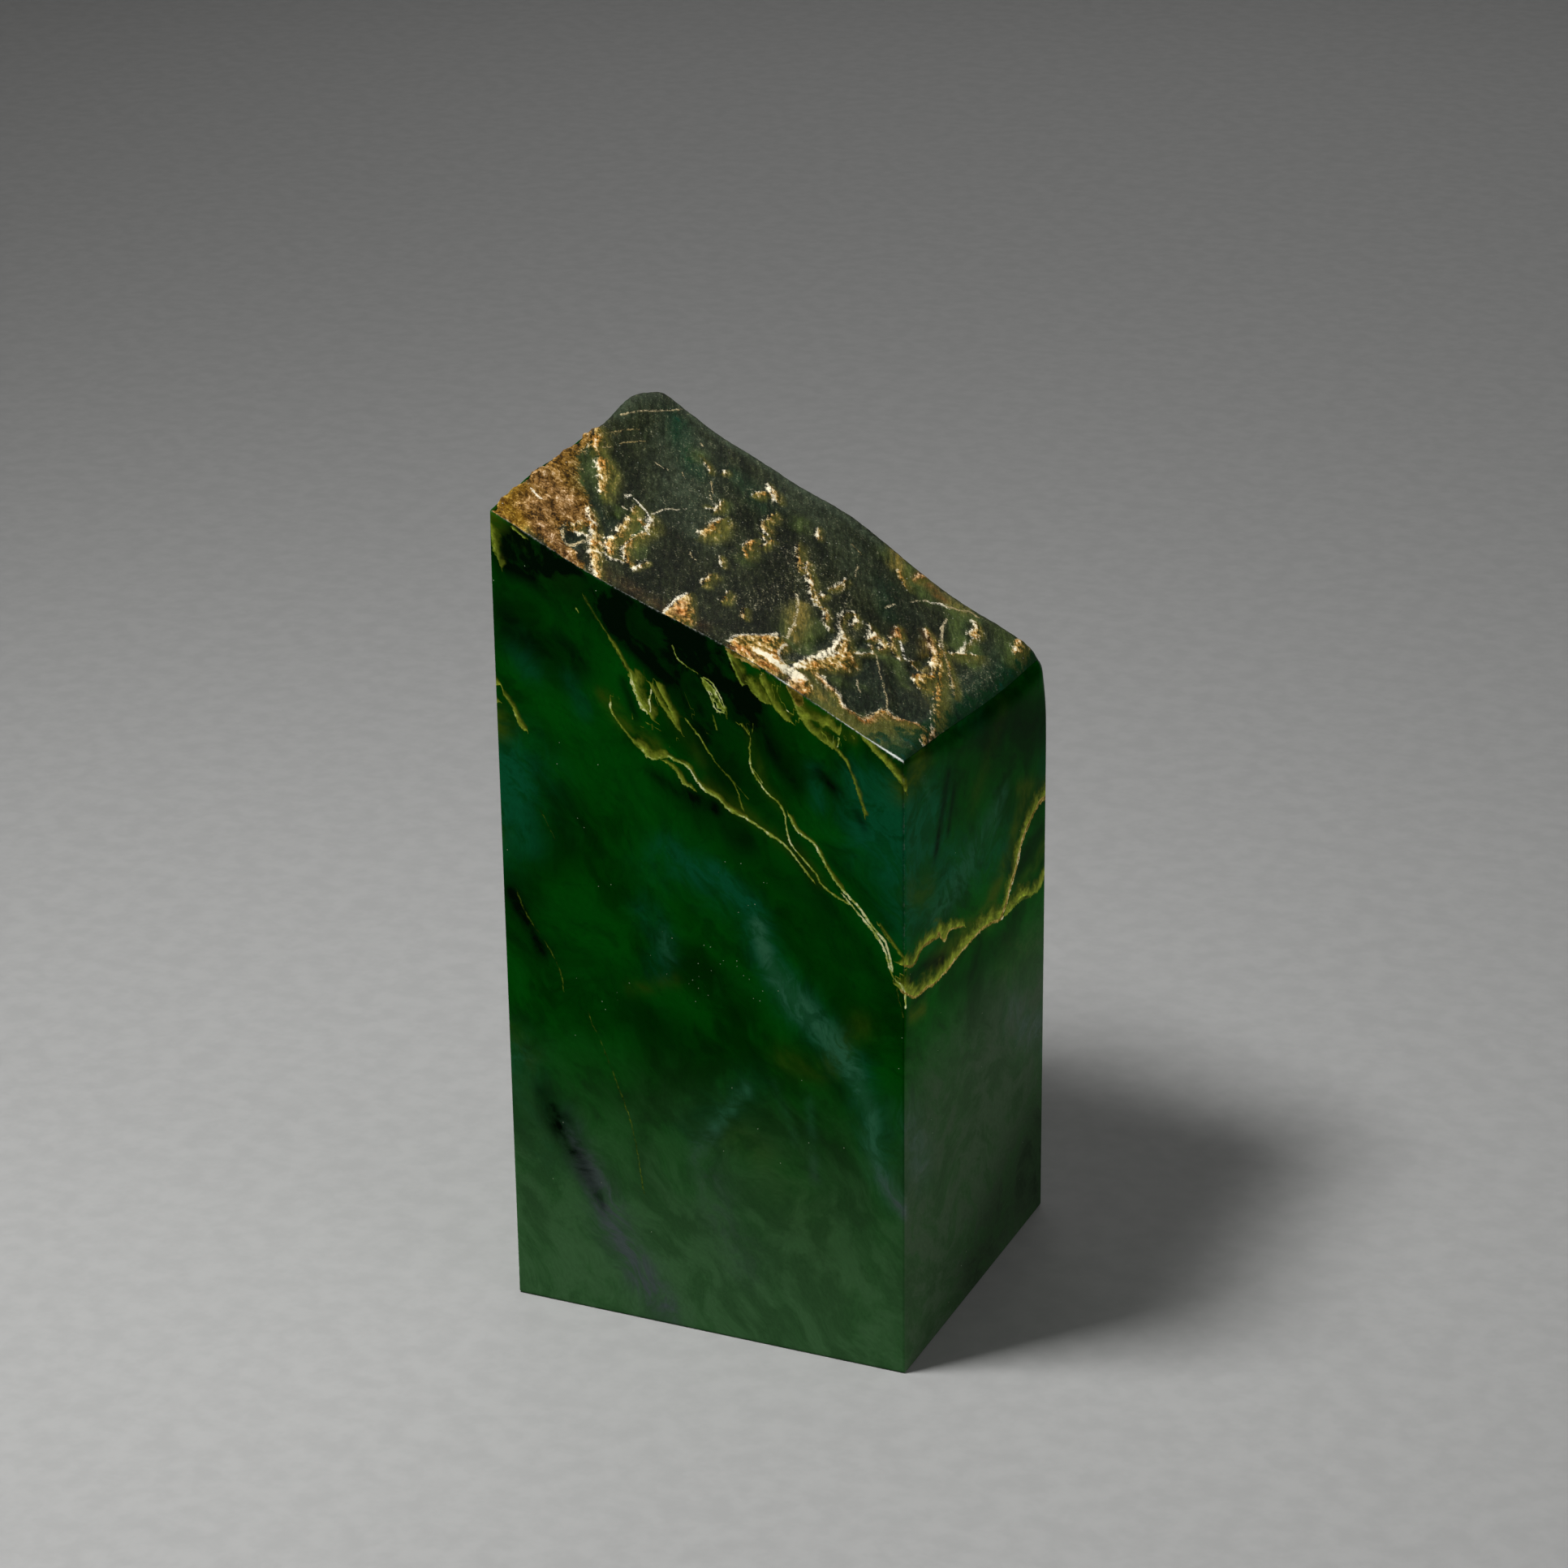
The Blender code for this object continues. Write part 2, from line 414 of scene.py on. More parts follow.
# Veins on the sides, in four layers so that no two near ones share a layer, each with those of the front,
# the right face, the back and the left face. A vein has its tone, from 0, olive, to 1, cream, with 2 added
# for a tan one, the reach of the glow on its left side as its route runs, its half width, and its route.
SIDE_LINES = (
    around(
        [(.56, 1, .2, [(-31.5, 234), (-30.5, 228), (-23, 219)]),
         (.68, 3.8, .35, [(-23, 219), (-19.5, 217), (-17, 214), (-10.5, 216)]),
         (.8, 2.4, .3, [(-10.5, 216), (-7.5, 214.5), (-3.5, 213.5), (-1, 209.5), (2.5, 206), (7.5, 204),
              (11, 200.5), (18, 198)]),
         (.66, 1, (.4, .15), [(18, 198), (29.5, 192), (34, 188), (42, 179)]),
         (.2, .8, .15, [(-40, 269), (-36, 262), (-31, 255)]),
         (.34, 1.6, .2, [(-31, 255), (-28, 250.5), (-24, 243.5)]),
         (.8, 7, .4, [(-24, 243.5), (-20.5, 233.5), (-17, 229.5)]),
         (.45, 2.4, .2, [(-72, 229.5), (-68, 225), (-65.5, 219), (-63.5, 217)]),
         (.55, 0, .1, [(-8.5, 257), (-6, 251), (2, 246.5)]),
         (.45, 3.5, .2, [(58.5, 234.5), (59.5, 233), (70, 223), (75, 216.5)]),
         (.58, 5, .25, [(11.5, 256.5), (16.5, 246), (17.5, 245.5)]),
         (.15, 1.4, .35, [(64.5, 168), (74.5, 155.5)]),
         (.18, 0, .15, [(-70, 160), (-67, 152.5), (-64, 147), (-54, 132.5), (-52, 122)])],
        [(2.56, 8, .4, [(-68, 146), (-57, 139), (-46, 138), (-40.5, 136.5), (-30, 136.5),
              (-18.5, 137.5), (-7, 138), (7, 137.5), (21, 134)]),
         (2.66, 8, .85, [(21, 134), (26, 137), (30.5, 142), (36.5, 147.5), (40.5, 154), (46, 158),
              (52, 161), (58.5, 163), (67, 163)])],
        [(2.7, 7, (.6, .6, .5, .1), [(73, 163), (64, 165), (52, 171), (38, 173), (26, 182), (10, 187),
              (-2, 197), (-14, 200)]),
         (2.6, 6, (.1, .5, .5), [(-30, 214), (-42, 226), (-54, 231), (-66, 243), (-75, 247)])],
        [(2.6, 6, (.5, .5, .3), [(67, 247), (54, 252), (44, 262), (30, 266), (18, 277), (8, 281), (-2, 292)]),
         (.55, 4, (.1, .3, .4), [(22, 214), (6, 219), (-12, 220), (-26, 228), (-44, 228), (-67, 232)])],
    ),
    around(
        [(.7, .7, .2, [(19.5, 227), (19.5, 217), (22, 212.5), (25, 209), (29.5, 205.5), (31.5, 202),
              (32, 197), (34, 191), (42, 183), (44, 179.5), (47.5, 176.5), (55, 173)]),
         (.28, 2.8, .1, [(-16.5, 240.5), (-13.5, 235), (-6, 225.5)]),
         (.52, 2.2, .2, [(-11.5, 214), (-8, 211.5), (-5.5, 207.5), (-1.5, 205.5)]),
         (.5, 5, .2, [(18, 247.5), (20, 244), (23, 241.5), (25.5, 240)]),
         (.8, 0, (.5, 1.5, .6), [(2.5, 246), (7, 239), (10.5, 235)]),
         (.55, 5, .25, [(32.5, 248), (38, 236.5), (42, 232), (46, 229.5), (49.5, 228)]),
         (.34, 1.8, .15, [(49.5, 228), (53, 224.5), (57, 215.5), (60, 206)]),
         (.3, 0, .1, [(11, 213), (19, 204.5)]), (.2, 0, .15, [(70, 150.5), (73, 137.5), (74.5, 135)]),
         (.05, 0, .1, [(-59, 190), (-53, 178)]),
         (.24, 0, .15, [(-44, 118), (-34, 94), (-27.5, 75), (-23.5, 49.5)]),
         (.5, 4, .3, [(-74, 288), (-72.5, 281), (-70.5, 275.5)])],
        [(2.48, 7, (.5, .2), [(-66.5, 154.5), (-58.5, 151.5), (-50.5, 154.5), (-38, 152.5),
              (-36.5, 154), (-33, 150), (-30, 148.5), (-27, 150.5), (-20.5, 149), (-13, 146)]),
         (2.95, 0, .45, [(22, 133.5), (24.5, 134)]),
         (.38, 7, .45, [(26, 133.5), (35.5, 133.5), (43, 133), (50, 131), (57.5, 129.5), (63, 131),
              (67, 134)])],
        [(.38, 7, (.6, .5, .1), [(73, 134), (62, 139), (50, 139), (38, 147), (22, 150), (8, 160)]),
         (.6, 2, .25, [(-2, 204), (-18, 208), (-34, 221), (-50, 224)])],
        [(.15, 0, .2, [(60, 150), (40, 138), (24, 120), (10, 112)]),
         (.5, 2, .15, [(-18, 214), (-36, 220), (-54, 221), (-67, 226)])],
    ),
    around(
        [(.74, 1.8, .25, [(33, 202), (35.5, 197), (39.5, 194.5), (42.5, 192), (47, 184), (52, 178)]),
         (.9, .8, .35, [(52, 178), (58.5, 172), (63, 166), (67, 162), (69, 154.5), (69.5, 151)]),
         (.85, 0, .25, [(2, 246.5), (6.5, 236.5), (7.5, 235), (10.5, 234.5)]),
         (.8, 0, .2, [(-16.5, 240.5), (-16, 238), (-17, 235.5), (-16.5, 232.5), (-17, 229.5)]),
         (.45, 3, .15, [(-14, 241), (-7.5, 229)]),
         (.5, 3.5, .15, [(23, 249.5), (27.5, 240.5), (30.5, 237), (33, 235)]),
         (.52, 5, .2, [(39.5, 237), (44.5, 236), (45, 234), (46, 235.5), (47.5, 235.5), (51, 233),
              (51.5, 234.5)]), (.5, 1, .15, [(-65.5, 289), (-60, 285.5)]),
         (.75, 0, .35, [(-74, 37), (-71, 39), (-71.5, 40.5)]),
         (2.45, 0, (.4, 1.1, .3), [(11, 258.5), (13, 257), (24, 251.5)]),
         (2.55, 0, (.7, 1.7, .7), [(32.5, 248), (36.5, 243.5), (38, 241)])],
        [],
        [],
        [],
    ),
    around(
        [(.42, .5, .15, [(-4, 230.5), (0, 226), (8.5, 214.5), (13, 210.5), (17, 200)]),
         (.86, 0, (.1, .35, .2, .3, .5, .35), [(50.5, 178), (65, 162), (69.5, 150), (73, 147),
              (74.5, 143.5), (75, 138)]),
         (.8, 0, .2, [(2, 246.5), (5, 245.5), (7, 243), (9.5, 238.5), (10.5, 235)]),
         (.65, 0, .1, [(20, 217), (24.5, 210.5)]), (.25, .8, .1, [(16, 232), (19, 228)]),
         (.25, 0, .15, [(20.5, 232.5), (20, 227.5)]),
         (.6, 0, .15, [(41, 235), (41.5, 233.5), (42.5, 232.5)]), (.6, 0, .2, [(46, 232), (48.5, 229)]),
         (.75, 0, .2, [(50.5, 233), (51, 230.5), (50, 227.5)]),
         (.45, 0, .1, [(-23.5, 229.5), (-23, 226)]), (.2, 0, .3, [(-16, 227.5), (-16, 224.5)]),
         (.4, 0, .35, [(-22, 241), (-17, 229.5)]),
         (.25, 0, .25, [(5.5, 234.5), (7, 230.5), (7.5, 227.5)]), (.3, 0, .2, [(11, 238), (11, 232)]),
         (.5, 0, .15, [(-44, 265), (-41, 261)])],
        [],
        [],
        [],
    ),
)

# Soft clouds in the sides, of the front and then of the right face: a strength, a half width and a route
TEAL = through(
    [(.55, 5, [(-66, 248), (-60, 240)]), (.35, 4, [(-46, 238), (-41, 228)]),
     (.45, 6.5, [(-74, 196), (-68, 184), (-64, 176)]), (.6, 5.5, [(56, 220), (66, 218), (73, 210)]),
     (.55, 3.5, [(42, 219), (44, 208)]), (.5, 6.5, [(56, 209), (63, 200)]),
     (.35, 10.5, [(66, 196), (74, 176)]), (.3, 8.5, [(-16, 176), (-2, 176), (10, 168)]),
     (.95, (4, 7, 4), [(6, 176), (18, 166), (25, 147), (35, 134), (54, 114), (60, 103), (65, 76),
          (74, 63)]), (.5, 5, [(-20, 158), (-13, 147), (-16, 137)]), (.45, 4.5, [(-12, 184), (0, 174)]),
     (.25, 9.5, [(-70, 95), (-60, 60)]), (.2, 7, [(-6, 78), (18, 100)])],
    [(.9, 15, [(-68, 200), (-44, 196)]), (.5, 11, [(-60, 170), (-30, 172)]),
     (.4, 10.5, [(-20, 172), (0, 166), (24, 160)]), (.3, 6.5, [(-10, 222), (2, 218)]),
     (.3, 9.5, [(-60, 90), (-50, 74)]), (.35, 9, [(30, 90), (52, 78)])],
)
PALE = through(
    [(.95, (2.5, 3, 4.5, 4, 3, 2.5, 2.5, 2.5, 2), [(21, 160), (25, 147), (33, 136), (51, 118),
          (58, 106), (62, 96), (62, 84), (66, 74), (74, 63)]),
     (.85, (3.5, 6.5, 6.5), [(-52, 72), (-37, 38), (-17, 4)]), (.6, (2.5, 1.5), [(-4, 70), (17, 99)]),
     (.25, 3, [(-14, 150), (-12, 142)]), (.2, 7.5, [(2, 60), (6, 46), (14, 30)]),
     (.2, 1.5, [(27, 100), (34, 82)]), (.2, 2, [(39, 97), (41, 68)])],
    [(.3, 8, [(-64, 96), (-50, 72)]), (.35, 6, [(34, 92), (48, 80), (62, 74)]),
     (.3, 7, [(-40, 160), (-10, 168), (16, 176)]), (.25, 3, [(19, 180), (26, 181)]),
     (.3, 2, [(-50, 215), (-45, 208)])],
)
# Dark clouds in the stone; the two broad strokes low on the right face are painted shadow, the floor's cast
# shadow reflected in the polish
DARK_AND_REFLECTED_SHADOW = through(
    [(.75, 7.5, [(-22, 262), (-10, 246), (12, 214)]), (.9, 8.5, [(-68, 278), (-50, 272), (20, 240)]),
     (.9, 5, [(-24, 270), (8, 257)]), (.85, 5, [(-64, 286), (-34, 273)]),
     (.7, 10.5, [(-70, 256), (-56, 250), (-44, 246)]), (.7, 1.5, [(14, 252), (18, 247)]),
     (.95, 2, [(43, 219), (50, 213)]), (.6, 1.5, [(57, 207), (60, 201)]),
     (.45, 8, [(-6, 204), (14, 190)]), (.35, 9, [(-72, 160), (-62, 138)]),
     (.55, 3, [(-71, 156), (-60, 136)]), (.4, 3.5, [(-60, 206), (-46, 176)]),
     (.45, 2.5, [(-50, 199), (-36, 176)]), (.8, 1, [(42, 234), (44, 233)]),
     (.8, 1, [(47, 233), (49, 232)]), (.75, 4.5, [(14, 240), (36, 214)]),
     (.6, 2, [(-26, 240), (-22, 228)]), (.6, 2.5, [(-18, 210), (-6, 203), (6, 200)]),
     (.5, 3, [(48, 190), (68, 168)]), (.45, 4, [(22, 206), (34, 192), (44, 176), (58, 160), (70, 142)]),
     (.3, 6, [(20, 190), (54, 152)]), (.95, (4, 6.5, 2), [(-61, 81), (-56, 72), (-40, 42)]),
     (.3, (4, 7), [(-26, 134), (0, 140), (16, 128)]), (.35, 9, [(0, 112), (-24, 118)])],
    [(.85, 2.5, [(-28, 208), (-39, 183)]), (.65, 2, [(-22, 202), (-28, 187)]),
     (.3, 9, [(0, 212), (30, 206), (60, 196)]), (.8, 3, [(-62, 147), (-52, 147), (-32, 142)]),
     # the last two strokes here are the painted reflected shadow
     (.35, 12, [(10, 205), (64, 190)]), (.55, 21, [(66, 4), (62, 30)]), (.45, 20, [(0, 8), (30, 20)]),
     (.5, 4.5, [(38, 145), (60, 152)]), (.35, 5, [(-30, 128), (30, 124)])],
)
OLIVE = through(
    [(.6, 2.5, [(-34, 234), (-24, 224), (-15, 219)]), (.45, 2.5, [(4, 208), (34, 190), (44, 180)]),
     (.95, (3, 1.5), [(-73, 290), (-60, 283)]), (.8, (2.5, 3.5, 2), [(24, 248), (30, 244), (56, 233)]),
     (.3, 5, [(-58, 278), (-44, 272)]), (.3, 2.5, [(-12, 236), (2, 216)]),
     (.35, 2, [(20, 228), (24, 212), (30, 204)]), (.3, 5.5, [(10, 80), (21, 74)]),
     (.3, 5, [(58, 130), (46, 112), (30, 112)]), (.35, 4, [(-72, 104), (-66, 96)]),
     (.5, 1, [(-56, 0), (-52, 1)]), (.35, 2.5, [(-26, 128), (-10, 134)]), (.2, 13, [(30, 60), (50, 30)])],
    [(.7, 4, [(-44, 143), (-4, 143), (14, 140)]), (.6, 4, [(12, 146), (22, 150), (38, 166), (50, 172)]),
     (.85, 5, [(-66, 218), (-46, 221)]), (.6, 3, [(-60, 134), (-50, 131)]),
     (.45, 3, [(38, 177), (66, 168)]), (.5, 3.5, [(34, 138), (50, 140), (64, 144)]),
     (.3, 7, [(24, 116), (56, 108)]), (.3, 6.5, [(-60, 178), (-44, 172)]),
     (.25, 5, [(-4, 190), (24, 212)])],
)
BRIGHT = through(
    [(.55, 10.5, [(-36, 214), (-2, 186)]), (.15, 8.5, [(-50, 222), (-56, 208)]),
     (.35, 9.5, [(40, 158), (58, 140)]), (.35, 11, [(-40, 150), (-36, 126)]),
     (.25, 8, [(66, 118), (70, 100)])],
    [(.35, 9, [(20, 112), (60, 112)]), (.25, 8, [(-60, 190), (-60, 190)])],
)
SPECKS = through(
    [(.9, 6, [(-2, 132), (10, 144), (20, 132)]), (.6, 5, [(10, 180), (18, 170)]),
     (.7, 3, [(-43, 120), (-32, 120)]), (.04, 20, [(-50, 190), (-40, 160)]),
     (.04, 14, [(-60, 60), (-20, 40)])],
    [],
)

# The crusts on the top. A crust has its tone, from 0, ochre, through 0.5, tan and cream, to 1, nearly white;
# how far it fades out on its left side as its route runs, as a share of its width; its half width; and its
# route. A hollow or a piece of rind has only a half width and a route.
CRUST = [
    (.35, .8, (.8, 1.6, 1.2), [(-72, 13), (-69.5, 6), (-68, 0)]),
    (.55, 1, (.8, 1.6, 1.9, .9), [(-66, 1), (-63, -3), (-60.5, -8), (-55.5, -19)]),
    (.58, .3, (.8, 1.5, 1.7, .8), [(-54, -32), (-47, -42), (-41.5, -54), (-33.5, -67.5)]),
    (.4, .3, .7, [(-50.5, -37), (-52.5, -47)]), (.9, 0, 1, [(-50, -48), (-47.5, -47)]),
    (.8, 0, .8, [(-47.5, -47), (-44.5, -50)]),
    (.48, 1.2, (.5, 1.1, .8), [(-46, -13), (-42.5, -32), (-41.5, -38.5)]),
    (.48, 0, (.9, 1.8, 1.4), [(-42.5, -39), (-41, -43), (-39, -47)]),
    (.7, 0, .6, [(-40, -49), (-37.5, -50.5), (-34, -48.5)]),
    (.5, .8, (.4, .8, .6), [(-37.5, -22.5), (-38, -28), (-37, -40), (-32, -47.5)]),
    (.35, 0, .8, [(-41.5, -18.5), (-40.5, -19.5)]),
    (.8, 1, (.5, .9, .7), [(-40.5, -12.5), (-39, -16), (-38.5, -20)]),
    (.7, 0, (.8, .4), [(-29, -40.5), (-29.5, -49)]),
    (.45, 1.4, (.5, 1.4, .8), [(-26, 13), (-26, 4), (-26.5, -1.5)]),
    (.62, .3, (.4, .8, .6), [(-30.5, 23), (-29.5, 19), (-29.5, 15.5)]),
    (.85, 0, .5, [(-31.5, 14.5), (-30, 16)]),
    (.42, .2, (.6, 3.8, 3.5), [(-11.5, -45), (-7.5, -61), (-7.5, -67)]),
    (.6, .2, .4, [(-16.5, -8.5), (-14, -13)]), (.4, .5, .7, [(-13, -23), (-12, -32.5)]),
    (.35, .6, .4, [(-4.5, -29), (-3, -37)]),
    (.45, .1, (1.4, 3.2, 3.8, 6, 8.2, 9.5, 8, 5), [(18.5, -39.5), (19, -42), (18.5, -46), (18, -51),
         (18.5, -55.5), (20, -60), (21, -64), (19.5, -69)]),
    (1, 0, (.8, 1.4, .8), [(17.5, -58.5), (22, -57), (26.5, -58), (30.5, -59.5)]),
    (.48, 0, (2.4, 4, 3.2, 2.4), [(33, -56), (35.5, -61), (37, -66), (37, -71)]),
    (.85, .6, (.6, 1.3, 1.3, 1), [(27.5, -7), (31, -26), (30, -43), (30, -57)]),
    (.46, .3, (.8, 2.6, 3.2, 3.2, 2.4, 2.4), [(28.5, -8), (34, -20), (35, -26), (35, -32), (32.5, -43),
         (32.5, -48)]),
    (.62, .8, (.8, 1.3, 1.2), [(49, -57), (46, -53.5), (42, -50.5), (39.5, -50), (35.5, -48),
         (31, -48)]),
    (.48, 3, 1, [(67, -36.5), (63, -39.5), (60, -43), (57, -41), (56, -48), (56.5, -52.5), (55, -57.5),
         (52.5, -56), (50.5, -57.5)]), (.62, 0, .8, [(24, 10), (23, 5.5), (25, -3), (27.5, -7)]),
    (.62, 0, .8, [(24.5, 10), (26.5, 7.5), (27, 2.5)]),
    (.75, .2, (.6, 1.3, 1), [(30, 10), (32.5, 8), (33.5, 4.5), (33.5, 2)]),
    (.6, 0, .4, [(35, -1), (37, -4.5)]), (.5, .3, (.6, 1, .7), [(36, 7), (38.5, 3.5), (38.5, -1)]),
    (.48, .2, (.6, 1.2, 1), [(36, 20.5), (37.5, 17.5), (38, 14.5)]),
    (.52, .2, (.7, 1, .7), [(37, 12), (39, 9), (40.5, 5), (43.5, 2)]),
    (.52, .2, (.5, 1, .8), [(48, 7), (48, 4.5), (50, 3.5)]),
    (.6, 0, .4, [(38, -6), (34.5, -20), (34.5, -24.5)]),
    (.32, 1, (1.2, 2.5, 1.6), [(56, 4), (54.5, 0), (54, -4), (56, -8)]),
    (.58, .2, (.6, 1.5, .8), [(42.5, 30), (49, 22), (56, 3)]),
    (.62, .2, (.6, .9, .6), [(48.5, 28.5), (50.5, 25), (51, 22)]),
    (.28, 1, (.8, 1, .6), [(50.5, 22), (53, 17), (60.5, -2.5), (68.5, -25.5)]),
    (.3, .3, (.4, .5, .3), [(51.5, 24.5), (62.5, 6), (65.5, -1)]),
    (.62, 0, (.8, 1.2, 1.9, 1.6), [(50.5, 54.5), (52.5, 52), (54, 48), (54, 45)]),
    (.85, 0, .6, [(55.5, 46), (54.5, 41.5), (55.5, 30.5)]), (.5, 1.5, .5, [(58.5, 34.5), (53.5, 26)]),
    (.34, .6, (.6, .9, .5), [(23, 53), (25, 50), (28, 47.5)]),
    (.38, .3, (.6, .9, .6), [(29.5, 62), (28.5, 60), (28, 55.5)]), (.6, .2, .6, [(70, -31), (72, -39)]),
    (.32, .2, .9, [(70.5, -40), (72, -44)]), (.6, 0, .6, [(72, -23), (73, -27)]),
    (.4, .8, (1.2, 1.5, .7), [(65, 61), (66.5, 56), (67, 52)]),
    (.62, .4, (.6, .9, .7), [(4, 16), (7, 12), (13, 1)]), (.5, .4, .6, [(11.5, 6.5), (15.5, -.5)]),
    (.55, .2, (.6, 1.3), [(17, -24), (18, -27)]),
    (.62, .1, (.8, .9, .6), [(17.5, 0), (19.5, -2.5), (21, -7), (23, -10)]),
    (.55, .2, (.5, .9), [(14, 8.5), (14, 5)]), (.6, 0, .6, [(15, 25.5), (15, 20), (14, 14)]),
    (.28, .2, .5, [(3.5, -33.5), (6, -40)]), (.42, .6, (.5, .9), [(-3.5, 27), (3, 13)]),
    (.62, .2, (.4, .7), [(3, 20), (5, 15)]),
    (.85, .2, (.6, 1.8, 1.4), [(-25, 51), (-22, 48), (-19.5, 45)]),
    (.55, .4, 1.1, [(-23.5, 45), (-25, 40.5)]), (.45, .5, .8, [(-16.5, 35), (-16, 31)]),
    (.58, .5, (.8, 1.5, .7), [(-16.5, 27.5), (-15, 24.5), (-13.5, 22.5)]),
    (.5, .2, .5, [(-13, 19), (-11, 18)]), (.5, .3, .4, [(-10.5, 20), (-10.5, 12)]),
    (.4, .8, (.7, 1.2, .8), [(-14, 12), (-13.5, 6), (-12, 2)]), (.5, .2, .4, [(-3, 43), (-1, 38)]),
    (.6, .2, .6, [(-45, 39.5), (-42, 38), (-41, 36)]), (.55, .2, .5, [(-37.5, 42), (-37.5, 40)]),
]
HOLLOWS = [
    ((1.5, 6.2, 7.2, 6.6, 4.8), [(39.5, -11), (44.5, -27), (47.5, -36), (49.5, -44), (51, -50)]),
    ((1.4, 3.4, 5.2, 6.2, 6.2, 4.2), [(45, -3), (48, -8), (52, -13), (57.5, -21), (61, -28),
         (61.5, -35)]),
    ((1.5, 3, 2), [(25, -12), (27, -20), (25.5, -30), (25.5, -46), (27, -53)]),
    ((1.2, 3.2), [(-51, -47), (-49.5, -51), (-49, -56)]),
    ((1.4, 1.8, 1), [(-47, -26), (-46, -38), (-43, -46)]),
    ((1.2, 1.8, 1.8, 2.6, 1.6), [(-69, -3), (-65, -9), (-62, -16), (-50, -32), (-46, -40)]),
    (1.4, [(33.5, -2), (33.5, -11)]), (1, [(26, 5.5), (26, 4)]),
    (1.8, [(50, 0), (50, 14)]),
]
RIND = [
    ((.6, 2.2, 2.6, 5.2, 6.6, 8.6, 10.6, 11.2, 9, 7, 6), [(-75, 18), (-72, 2), (-71.5, -8),
         (-69, -20), (-67.5, -26), (-64.5, -30), (-63, -36), (-62, -42), (-65, -53), (-68, -58),
         (-68.5, -70)]), ((5, 5, 3), [(-62, -54), (-56, -59), (-42, -67)]),
]

# Lines on the top, in two layers: a tone from 0, olive, to 1, white, a half width and a route
TOP_LINES = (
    [(.85, .4, [(-48.5, -8.5), (-45.5, -9.5), (-40.5, -12.5), (-39, -17), (-38.5, -21),
          (-36, -22.5)]), (.5, .2, [(-62.5, 61), (-64.5, 48), (-66, 42), (-71, 28)]),
     (.8, .45, [(16.5, -36), (15.5, -42), (10.5, -55), (11, -62)]),
     (.5, .15, [(38.5, -5), (54, -32.5), (56.5, -39)]), (.6, .2, [(32.5, 40.5), (35.5, 49.5)]),
     (.85, .4, [(37, 48.5), (39, 53), (40.5, 52.5), (42, 53)]),
     (.45, .45, [(40.5, 52), (42.5, 55), (45, 57), (47, 60), (51, 59.5)]),
     (.6, .45, [(44, 46), (46, 36.5), (51, 25)]), (.95, .35, [(39.5, 14), (46, 4)]),
     (.65, .35, [(8.5, -2), (11.5, -8), (14.5, -15.5), (20, -36)]),
     (.35, .15, [(-60.5, 27), (-63, 20), (-64.5, 14)]),
     (.55, .25, [(-54, 19.5), (-50, 20), (-49.5, 21.5)]), (.45, .15, [(-38, 31), (-34, 24)]),
     (.5, .2, [(-24.5, -16), (-22.5, -19), (-20, -19.5)]), (.6, .2, [(29, 26.5), (30, 33.5)])],
    [(.7, .25, [(-41.5, -11), (-40, -1), (-38, 2), (-36, 7.5)]),
     (.8, .35, [(-50, -12.5), (-50.5, -10), (-49.5, -7.5)]),
     (.7, .3, [(-49, -18), (-46.5, -17.5)]), (.85, .45, [(-69.5, -43.5), (-64.5, -45.5)]),
     (.8, .4, [(-49, -41), (-46.5, -46), (-44, -52)]),
     (.55, .45, [(-55, -47.5), (-53.5, -53), (-50, -57.5), (-48.5, -55.5), (-47, -50),
          (-46.5, -45.5)]), (.5, .2, [(14, 39), (16, 31)]), (.45, .2, [(-44, 22), (-46, 25)]),
     (.55, .2, [(-35, 23), (-33, 20.5)]), (.55, .3, [(-50, 49), (-48.5, 47.5)]),
     (.4, .15, [(-65, 10), (-66.5, 4)]), (.3, .15, [(-66, 25), (-69.5, 15), (-70.5, 8)]),
     (.3, .15, [(-64, 30), (-67, 22), (-68, 14)]), (.3, .1, [(6, 48), (12.5, 46)]),
     (.8, .25, [(-34, -3), (-34, -5)]), (.8, .25, [(-18.5, -14), (-18.5, -15)]),
     (.85, .4, [(-12, -45), (-12.5, -52), (-12, -58), (-11, -66)]),
     (.75, .4, [(21.5, -40), (22, -47), (24.5, -52), (28.5, -55.5)]),
     (.6, .2, [(43, -31), (45, -36), (47.5, -39)]),
     (.4, .25, [(51.5, 24.5), (58.5, 13), (65.5, -1)]),
     (.5, .3, [(50.5, -56.5), (52.5, -55), (55, -56.5), (56, -52.5), (55.5, -47), (56, -42),
          (57, -40), (58.5, -42), (60.5, -42.5), (64.5, -36.5), (67, -36)])],
)

